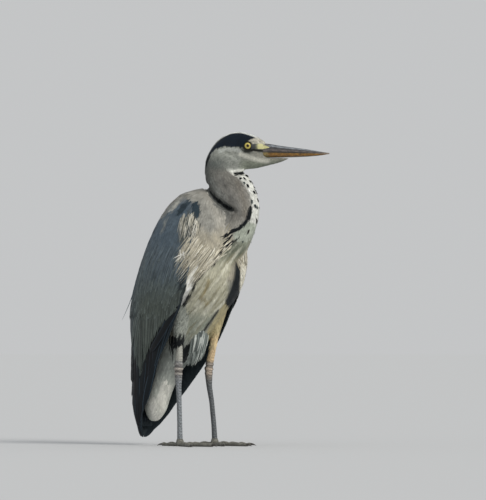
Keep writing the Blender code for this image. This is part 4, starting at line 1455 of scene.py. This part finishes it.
EYE_BALL = 8.0
LID_RADIUS, LID_HALF = 7.7, 1.3
LID_ROUND, LID_WRINKLES, LID_PROUD = 48, 13, 0.6
for side in SIDES:
    axis = Vector(LOOK[side])
    centre = eye_centre(side)
    turn = axis.to_track_quat("Z", "Y").to_matrix().to_4x4()
    bm = bmesh.new()
    bmesh.ops.create_uvsphere(bm, u_segments=48, v_segments=32, radius=EYE_BALL * MM,
                              matrix=Matrix.Translation(centre) @ turn)
    mesh = mesh_of(bm, "eye_glass_" + side)
    glass = smooth_piece("eye_glass_" + side, mesh, eye_glass(side), 180)
    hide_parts("eye_" + side)
    across = axis.cross(Vector((0, 0, 1))).normalized()
    over = across.cross(axis).normalized()
    depth = math.sqrt(EYE_BALL ** 2 - LID_RADIUS ** 2) + LID_PROUD
    rings = []
    for angle in (2 * math.pi * i / LID_ROUND for i in range(LID_ROUND)):
        out = across * math.cos(angle) + over * math.sin(angle)
        middle = centre + (axis * depth + out * LID_RADIUS) * MM
        wrinkle = 1 + 0.1 * math.sin(angle * LID_WRINKLES)
        leans = [2 * math.pi * k / 10 for k in range(10)]
        rings.append([middle + (out * math.cos(lean) * 1.15 + axis * math.sin(lean)) * LID_HALF * wrinkle * MM
                      for lean in leans])
    smooth_piece("lid_" + side, ring_mesh("lid_" + side, rings, True), lid_finish, 180)


# ---------------------------------------------------------------- bill
# The dagger bill: two halves of horn that meet along a fine gape line, with a nasal groove and a slit nostril
# in each side of the upper half. Satin horn, dusky above and ochre below.
GAPE_BACK, BILL_TIP = 131.0, 258.6
GAPE_HEIGHT, TIP_HEIGHT = 564.5, 562.2
BILL_ALONG = (0, 12, 30, 55, 85, 108, 124, 127.6)
BILL_RISE = (17, 16.2, 13.5, 10.6, 7.2, 3.6, 1.2, 0.5)
BILL_DROP = (10, 10.2, 9.6, 8.8, 7, 4.6, 1.8, 0.6)
BILL_HALF_WIDTH = (8.6, 9.0, 8.2, 6.6, 4.6, 2.7, 1.1, 0.5)
BILL_SLANT, BILL_BURIED = 6.0, 10.0
BILL_STEPS, BILL_ROUND = 96, 34
GROOVE_RISE, NOSTRIL_RISE, NOSTRIL_DEPTH = 0.62, 0.6, 1.1
GAPE_GAP = 0.2


def horn(name):
    """Satin horn in the tones of its own attribute, with fine flecks stretched along the bill."""
    material = finish(name, 0.36, Coat_Weight=0.3, Coat_Roughness=0.25)
    colour = add_node(material, "Attribute", attribute_name="plumage")
    place = add_node(material, "TexCoord").outputs["Object"]
    stretch = add_node(material, "Mapping", {"Vector": place, "Scale": (0.3, 1, 1)})
    grain = add_node(material, "TexNoise", {"Vector": stretch, "Scale": 800.0, "Detail": 3.0})
    fleck = add_node(material, "MapRange", {"Value": grain, "From Min": 0.36, "From Max": 0.66,
                                            "To Min": 0.6, "To Max": 1.6})
    flecked = add_node(material, "VectorMath", {0: colour, 1: fleck}, operation="MULTIPLY")
    return wear(material, flecked.outputs[0])


HORN_BANDS = {
    # Upper half: the pale band at 0.78 of its height is a painted glint over the dusky horn.
    "bill_upper": ((0, "#14110e"), (0.1, "#14110e"), (0.2, "#5a524f"), (0.36, "#4a4442"), (0.5, "#272526"),
                   (0.62, "#353538"), (0.78, "#80858b"), (0.9, "#575b60"), (1, "#2c2f34")),
    "bill_lower": ((0, "#2b2118"), (0.1, "#60481b"), (0.3, "#7c5716"), (0.6, "#775216"), (0.85, "#533d1a"),
                   (1, "#3a301c")),
}
BASE_TONES = {"bill_upper": "#5b5552", "bill_lower": "#8a8154"}
TIP_TONE = "#5e4c30"


def horn_tone(half, x, rise):
    """The horn's tone at some place along the bill and some share of the way up from the gape."""
    stops, tones = zip(*HORN_BANDS[half])
    tone = np.array([np.interp(rise, stops, band) for band in inks(tones).T])
    tone = tone * (0.65 + 0.7 * float(clouds(x * 0.35, rise * 6, 1.5)))
    tone = tone + (linear(BASE_TONES[half]) - tone) * float(ease(14, 2, x)) * 0.6
    return tone + (linear(TIP_TONE) - tone) * float(ease(105, 124, x)) * 0.7


for half, sign, sizes, finish_name, slot in (("bill_upper", 1, BILL_RISE, "dusky bill horn", "bill_dark"),
                                             ("bill_lower", -1, BILL_DROP, "ochre bill horn", "bill_yellow")):
    rings, colours = [], []
    for i in range(BILL_STEPS + 1):
        share = 1 - (1 - i / BILL_STEPS) ** 1.25
        x = share * (BILL_TIP - GAPE_BACK + BILL_BURIED) - BILL_BURIED
        window = np.clip(x + np.linspace(-8, 8, 9), 0, BILL_TIP - GAPE_BACK)
        height = float(np.interp(window, BILL_ALONG, sizes).mean())
        half_width = float(np.interp(window, BILL_ALONG, BILL_HALF_WIDTH).mean())
        gape = GAPE_HEIGHT + (TIP_HEIGHT - GAPE_HEIGHT) * share
        taper = 1 - 0.25 * max(-x, 0) / BILL_BURIED
        ring = []
        for k in range(BILL_ROUND):
            angle = math.pi * k / (BILL_ROUND - 1)
            rise = math.sin(angle) ** 0.85
            inset = 0.0
            if sign > 0:
                groove = float(np.interp(x, (0, 6, 30, 80), (0, 0.5, 0.55, 0)))
                nostril = float(np.interp(x, (9, 11, 21, 24), (0, 1, 1, 0)))
                inset = math.exp(-((rise - GROOVE_RISE) / 0.13) ** 2) * groove
                inset += NOSTRIL_DEPTH * (math.exp(-((rise - NOSTRIL_RISE) / 0.07) ** 2) * nostril)
            out = math.cos(angle) * (half_width - inset) * taper
            ahead = GAPE_BACK + x + BILL_SLANT * rise * math.exp(-max(x, 0) / 14)
            level = gape + sign * (GAPE_GAP + rise * (height - GAPE_GAP))
            ring.append(Vector(from_bird((ahead, HEAD_Y + out, level))))
            colours.append(horn_tone(half, x, rise))
        rings.append(ring)
    mesh = ring_mesh(half, rings)
    set_colours(mesh, np.array(colours))
    piece = smooth_piece(half + "_horn", mesh, horn(finish_name), 60)
    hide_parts(half)
    if sign > 0:
        horn_tree = tree_of(piece)


# ---------------------------------------------------------------- bare lores
# The bare skin between eye and bill: smooth, greenish yellow in front and darkening towards the eye. A thin
# patch on each side, laid over the skin and the base of the horn.
lore_finish = finish("bare lore skin", 0.45)
lore_place = add_node(lore_finish, "TexCoord").outputs["Object"]
lore_parts = add_node(lore_finish, "SeparateXYZ", {"Vector": lore_place})
lore_noise = add_node(lore_finish, "TexNoise", {"Vector": lore_place, "Scale": 300.0})
lore_push = add_node(lore_finish, "Math", {0: lore_noise, 1: 0.004, 2: lore_parts}, operation="MULTIPLY_ADD")
lore_start = float(from_bird((115, 0, 0))[0]) + 0.002
lore_share = add_node(lore_finish, "MapRange", {"Value": lore_push, "From Min": lore_start,
                                                "From Max": lore_start + 0.0075})
lore_ramp = add_node(lore_finish, "ValToRGB", {"Fac": lore_share},
                     [(0.0, "#1b2022"), (0.5, "#5f6046"), (1.0, "#bdb981")])
wear(lore_finish, lore_ramp.outputs["Color"])
LORE_X = (108, 120, 129, 136, 143)
LORE_TOP = (579, 580.5, 580.5, 576.8, 573.8)
LORE_BOTTOM = (570.5, 570.2, 570.2, 571.2, 573)
HORN_START = 132
LORE_PROUD, LORE_SUNK = 0.6, 1.2
for side, sign in SIDES.items():
    rows = []
    for i in range(25):
        x = LORE_X[0] + (LORE_X[-1] - LORE_X[0]) * i / 24
        top, bottom = (float(np.interp(x, LORE_X, heights)) for heights in (LORE_TOP, LORE_BOTTOM))
        spots = [(x, bottom + (top - bottom) * k / 8) for k in range(9)]
        rows.append(in_bird(seen(skin_tree if x < HORN_START else horn_tree, spots)[0]))
    face = np.array(rows)
    face[..., 1] = HEAD_Y + (face[..., 1] - HEAD_Y) * -sign
    outer, inner = face + (0, sign * LORE_PROUD, 0), face - (0, sign * LORE_SUNK, 0)
    rings = [[Vector(from_bird(p)) for p in (*front, *back[::-1])] for front, back in zip(outer, inner)]
    smooth_piece("lore_" + side, ring_mesh("lore_" + side, rings), lore_finish, 60)


# ---------------------------------------------------------------- legs
# The bare lower tibia, heel joint and tarsus of each leg: dry horny skin in broad scutes in front and small
# net-like scales behind, wrinkled round the heel, bright ochre above the far heel.
FOOT_U = {"right": 9.0, "left": 30.0}
FOOT_V = 38.0
HEEL_BACK = {"right": 4.0, "left": 15.5}
LEG_LEVELS = (2, 14, 40, 85, 115, 136, 148, 162, 182, 208)
LEG_BOW = (0, 0, 0.13, 0.5, 0.92, 1, 1, 0.8, 0.4, 0.15)
LEG_FORE = (6.2, 5.6, 5.1, 5.0, 5.8, 7.6, 8.6, 7.6, 6.8, 6.8)
LEG_SIDE = (6.0, 5.4, 4.8, 4.7, 5.2, 7.0, 7.8, 7.0, 6.2, 6.2)
RING_TOP, RING_GAP = 158.0, 9.5
HEEL_HEIGHT = 146
LEG_SCUTE, PAD_SCUTE, TOE_SCUTE = 5.2, 4.6, 3.6
PLATE_LIFT, SCALE_LIFT, SCALE_PITCH, SUNK = 0.6, 0.22, 2.6, 0.3


def leg_finish(name):
    """Leg skin: tones from the scales' own attribute, with dirt worked into the joints between them."""
    material = finish(name, 0.6)
    colour = add_node(material, "Attribute", attribute_name="plumage")
    place = add_node(material, "TexCoord").outputs["Object"]
    grain = add_node(material, "TexNoise", {"Vector": place, "Scale": 260.0, "Detail": 6.0})
    tone = add_node(material, "MapRange", {"Value": grain, "From Min": 0.3, "From Max": 0.7,
                                           "To Min": 0.75, "To Max": 1.25})
    shade = add_node(material, "VectorMath", {0: colour, 1: tone}, operation="MULTIPLY")
    net = add_node(material, "TexVoronoi", {"Vector": place, "Scale": 520.0}, feature="DISTANCE_TO_EDGE")
    bump = add_node(material, "Bump", {"Strength": 0.5, "Distance": 0.0004, "Height": net})
    return wear(material, shade.outputs[0], bump)


leg_skin = leg_finish("scaly leg skin")


def scaled_tube(name, centres, radii, across, up_hint, scute, around, tones, floor=None):
    """A tube whose surface carries scutes on its leading side and a net of small scales elsewhere."""
    along = unit(np.gradient(centres, axis=0))
    rings, colours = [], []
    travelled = np.concatenate(([0], np.cumsum(np.linalg.norm(np.diff(centres, axis=0), axis=1))))
    for i, centre in enumerate(centres):
        side = unit(across - along[i] * (across @ along[i]))
        lead = np.cross(side, along[i])
        lead = lead * (1 if lead @ up_hint > 0 else -1)
        ring = []
        for k in range(around):
            angle = 2 * math.pi * k / around
            front = ease(0.45, 0.8, math.cos(angle))
            step = (travelled[i] / scute) % 1
            plate = PLATE_LIFT * (1 - step) * front
            cell = math.sin(math.pi * travelled[i] / SCALE_PITCH) * math.sin(angle * around / 4.0)
            lift = plate + SCALE_LIFT * (1 - front) * cell
            fore, beside = radii[i][0] + lift - SUNK, radii[i][1] + lift - SUNK
            point = centre + lead * math.cos(angle) * fore + side * math.sin(angle) * beside
            if floor is not None:
                point[2] = max(point[2], floor)
            ring.append(Vector(from_bird(point)))
            seam = front * (step > 0.78) * 0.6 + (1 - front) * (cell < -0.3) * 0.45
            seam *= float(np.interp(centre[2], (160, 172), (1, 0.3)))
            colours.append(tones(centre[2], angle) * (1 - seam))
        rings.append(ring)
    mesh = ring_mesh(name, rings)
    set_colours(mesh, np.array(colours))
    return smooth_piece(name, mesh, leg_skin, 75)


FORE_WAY, LEFT_WAY = trunk_ways([(1, 0, 0), (0, 1, 0)])
for side, sign in SIDES.items():
    levels = np.arange(LEG_LEVELS[0], LEG_LEVELS[-1], 0.8)
    bow = np.interp(levels, LEG_LEVELS, LEG_BOW) * -HEEL_BACK[side]
    fore, beside = (np.interp(levels, LEG_LEVELS, sizes) for sizes in (LEG_FORE, LEG_SIDE))
    kernel = np.hanning(23) / np.hanning(23).sum()
    bow, fore, beside = (np.convolve(np.pad(row, 11, "edge"), kernel, "valid") for row in (bow, fore, beside))
    wrinkle = 0.9 * np.cos((levels - RING_TOP) * 2 * math.pi / RING_GAP) * np.exp(-((levels - 151) / 11) ** 2)
    centres = from_trunk(np.stack((FOOT_U[side] + bow, np.full(len(levels), sign * FOOT_V), levels), 1))

    def tones(z, angle, side=side):
        fine = 0.6 + 0.8 * float(clouds(angle * 9, z * 0.7 + 40, 1.1))
        fleck = 0.5 + 1.1 * float(clouds(angle * 6.5, z * 1.2, 1.9)) * fine
        band = 0.5 + 0.5 * math.cos(2 * math.pi * (z - RING_TOP) / RING_GAP)
        if side == "right":
            base, above = linear("#7c8185"), linear("#a5a59c")
            # Near heel: painted light on the wrinkles' ridges and painted shade in their grooves.
            heel = linear("#5a5552") + (linear("#aba49b") - linear("#5a5552")) * band
        else:
            base, above = linear("#575b5e"), linear("#cdb38c")
            # Far heel: a painted highlight on the side facing forwards and to the right, and painted shade
            # round the rest.
            facing = float(ease(0.3, 0.95, math.cos(angle + 0.7)))
            heel = linear("#2b2a26") + (linear("#c6b5a3") - linear("#2b2a26")) * facing * (0.6 + 0.4 * band)
        rear = 0.62 + 0.38 * ease(-0.5, 0.6, math.cos(angle))
        share = ease(158, 168, z)
        at_heel = math.exp(-((z - HEEL_HEIGHT) / 14) ** 2)
        tone = base * rear * fleck * (1 - share) + above * (0.8 + 0.2 * fleck) * share
        return tone * (1 - at_heel) + heel * (0.7 + 0.3 * fleck) * at_heel

    radii = np.stack((fore + wrinkle, beside + wrinkle), 1)
    leg = scaled_tube("leg_" + side, centres, radii, LEFT_WAY, FORE_WAY, LEG_SCUTE, 32, tones)
    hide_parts("shank_" + side, "tarsus_" + side)


# ---------------------------------------------------------------- feet and claws
# Four long toes on each foot, scuted above and padded below, spread flat on the floor, each ending in a
# curved claw of dark horn. The middle claw carries the heron's comb along its inner edge.
TOE_LENGTHS = {"inner": 64, "middle": 84, "outer": 72, "hind": 50}
TOE_TURNS = {"inner": -32, "middle": 0, "outer": 30, "hind": 186}
CLAW_LENGTHS = {"inner": 10, "middle": 12, "outer": 10, "hind": 17}
TOE_JOINTS = {"inner": 2, "middle": 3, "outer": 4, "hind": 2}
claw_finish = mottled(finish("dark claw horn", 0.35, Coat_Weight=0.3, Coat_Roughness=0.25), 500.0,
                      ("#1c1a17", "#3d3831"))
UP = np.array((0.0, 0, 1))
TOE_RADIUS, TOE_TAPER, KNUCKLE = 4.6, 1.3, 0.5
CLAW_RADIUS, CLAW_TIP, CLAW_HEIGHT, CLAW_BURIED = 2.35, 0.22, 3.4, 1.2
COMB_TOOTH = 0.6
CLAW_STEPS = CLAW_ROUND = 14


def foot_tones(z, angle):
    return linear("#75746c") * (0.7 + 0.3 * ease(-0.4, 0.4, math.cos(angle)))


for side, sign in SIDES.items():
    place = from_trunk([(FOOT_U[side], sign * FOOT_V, 0)])[0]
    levels = np.linspace(0, 14, 15)
    wide = np.interp(levels, (0, 4, 9, 14), (6.6, 8.4, 7.6, 5.9))
    foot = scaled_tube("foot_pad_" + side, place + UP * levels[:, None], np.stack((wide, wide), 1), LEFT_WAY,
                       FORE_WAY, PAD_SCUTE, 28, foot_tones, 0.0)
    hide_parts("foot_" + side)
    for toe, length in TOE_LENGTHS.items():
        turn = math.radians(TOE_TURNS[toe]) * sign
        way = FORE_WAY * math.cos(turn) + LEFT_WAY * math.sin(turn)
        share = np.linspace(0, 1, int(length / 1.1))
        radius = TOE_RADIUS - TOE_TAPER * share + KNUCKLE * np.cos(2 * math.pi * share * TOE_JOINTS[toe])
        radius = radius * np.where(share > 0.96, 0.85, 1)
        centres = place + way * (length * share)[:, None] + UP * (radius - 0.6)[:, None]
        beside_way = np.cross(UP, way)
        digit = scaled_tube("toe_" + toe + "_skin_" + side, centres, np.stack((radius, radius), 1),
                            beside_way, UP, TOE_SCUTE, 20, foot_tones, 0.0)
        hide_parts("toe_" + toe + "_" + side)
        rings = []
        reach = CLAW_LENGTHS[toe]
        start = place + way * (length - CLAW_BURIED)
        for i in range(CLAW_STEPS + 1):
            f = i / CLAW_STEPS
            radius = CLAW_RADIUS * (1 - f) ** 0.8 + CLAW_TIP
            height = CLAW_HEIGHT * (1 - f ** 2) + (radius + 0.05) * f ** 2
            middle = start + way * (reach + CLAW_BURIED) * f + UP * height
            ring = []
            for k in range(CLAW_ROUND):
                angle = 2 * math.pi * k / CLAW_ROUND
                on_comb = toe == "middle" and 3 <= i <= 11 and i % 2 and math.sin(angle) * sign > 0.8
                half_width = radius * 0.8 + (COMB_TOOTH if on_comb else 0.0)
                point = middle + UP * math.cos(angle) * radius + beside_way * math.sin(angle) * half_width
                point[2] = max(point[2], 0.02)
                ring.append(Vector(from_bird(point)))
            rings.append(ring)
        claw = smooth_piece("claw_" + toe + "_horn_" + side, ring_mesh("claw", rings), claw_finish,
                            60)
        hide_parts("claw_" + toe + "_" + side)


# ---------------------------------------------------------------- studio
# A plain pale floor under an even pale surround, a broad soft sun from the bird's front and above, and a
# camera far back on the bird's right, low down.
FLOOR_TONE = (0.62, 0.63, 0.64)
SURROUND = 0.56
FLOOR_RADIUS = 60
bm = bmesh.new()
bmesh.ops.create_circle(bm, cap_ends=True, segments=96, radius=FLOOR_RADIUS)
floor = shown("floor", mesh_of(bm, "floor"))
floor_finish = finish("matt pale floor", 0.95, Specular_IOR_Level=0.0, Base_Color=(*FLOOR_TONE, 1))
floor.data.materials.append(floor_finish)

world = bpy.data.worlds.new("studio")
bpy.context.scene.world = world
world.use_nodes = True
background = world.node_tree.nodes["Background"]
background.inputs["Color"].default_value = (0.985, 1.0, 1.01, 1)
background.inputs["Strength"].default_value = SURROUND

SUN_WAY = Vector((0.62, -0.62, 0.62)).normalized()
SUN_SPREAD = math.radians(24)
sun_share = (1 / FLOOR_TONE[1] - 1) * SURROUND / SUN_WAY.z
sun_data = bpy.data.lights.new("soft_sun", "SUN")
sun_data.energy = sun_share * math.pi
sun_data.angle = SUN_SPREAD
sun_data.color = (1.0, 0.97, 0.92)
sun = bpy.data.objects.new("soft_sun", sun_data)
sun.rotation_euler = SUN_WAY.to_track_quat("Z", "Y").to_euler()
bpy.context.scene.collection.objects.link(sun)

CAMERA_BACK = 8.0
CAMERA_HEIGHT = 0.2
FRAME_HEIGHT = 0.966
SENSOR = 36
AIM = Vector(from_bird((92.6, 0, 378)))
camera_data = bpy.data.cameras.new("camera")
camera_data.sensor_fit = "VERTICAL"
camera_data.sensor_width = camera_data.sensor_height = SENSOR
camera_data.lens = SENSOR * CAMERA_BACK / FRAME_HEIGHT
camera_data.clip_end = 200
camera = bpy.data.objects.new("camera", camera_data)
camera.location = (AIM.x, AIM.y - CAMERA_BACK, CAMERA_HEIGHT)
camera.rotation_euler = Vector((0, -CAMERA_BACK, CAMERA_HEIGHT - AIM.z)).to_track_quat("Z", "Y").to_euler()
bpy.context.scene.collection.objects.link(camera)
bpy.context.scene.camera = camera
bpy.context.scene.view_settings.view_transform = "Standard"
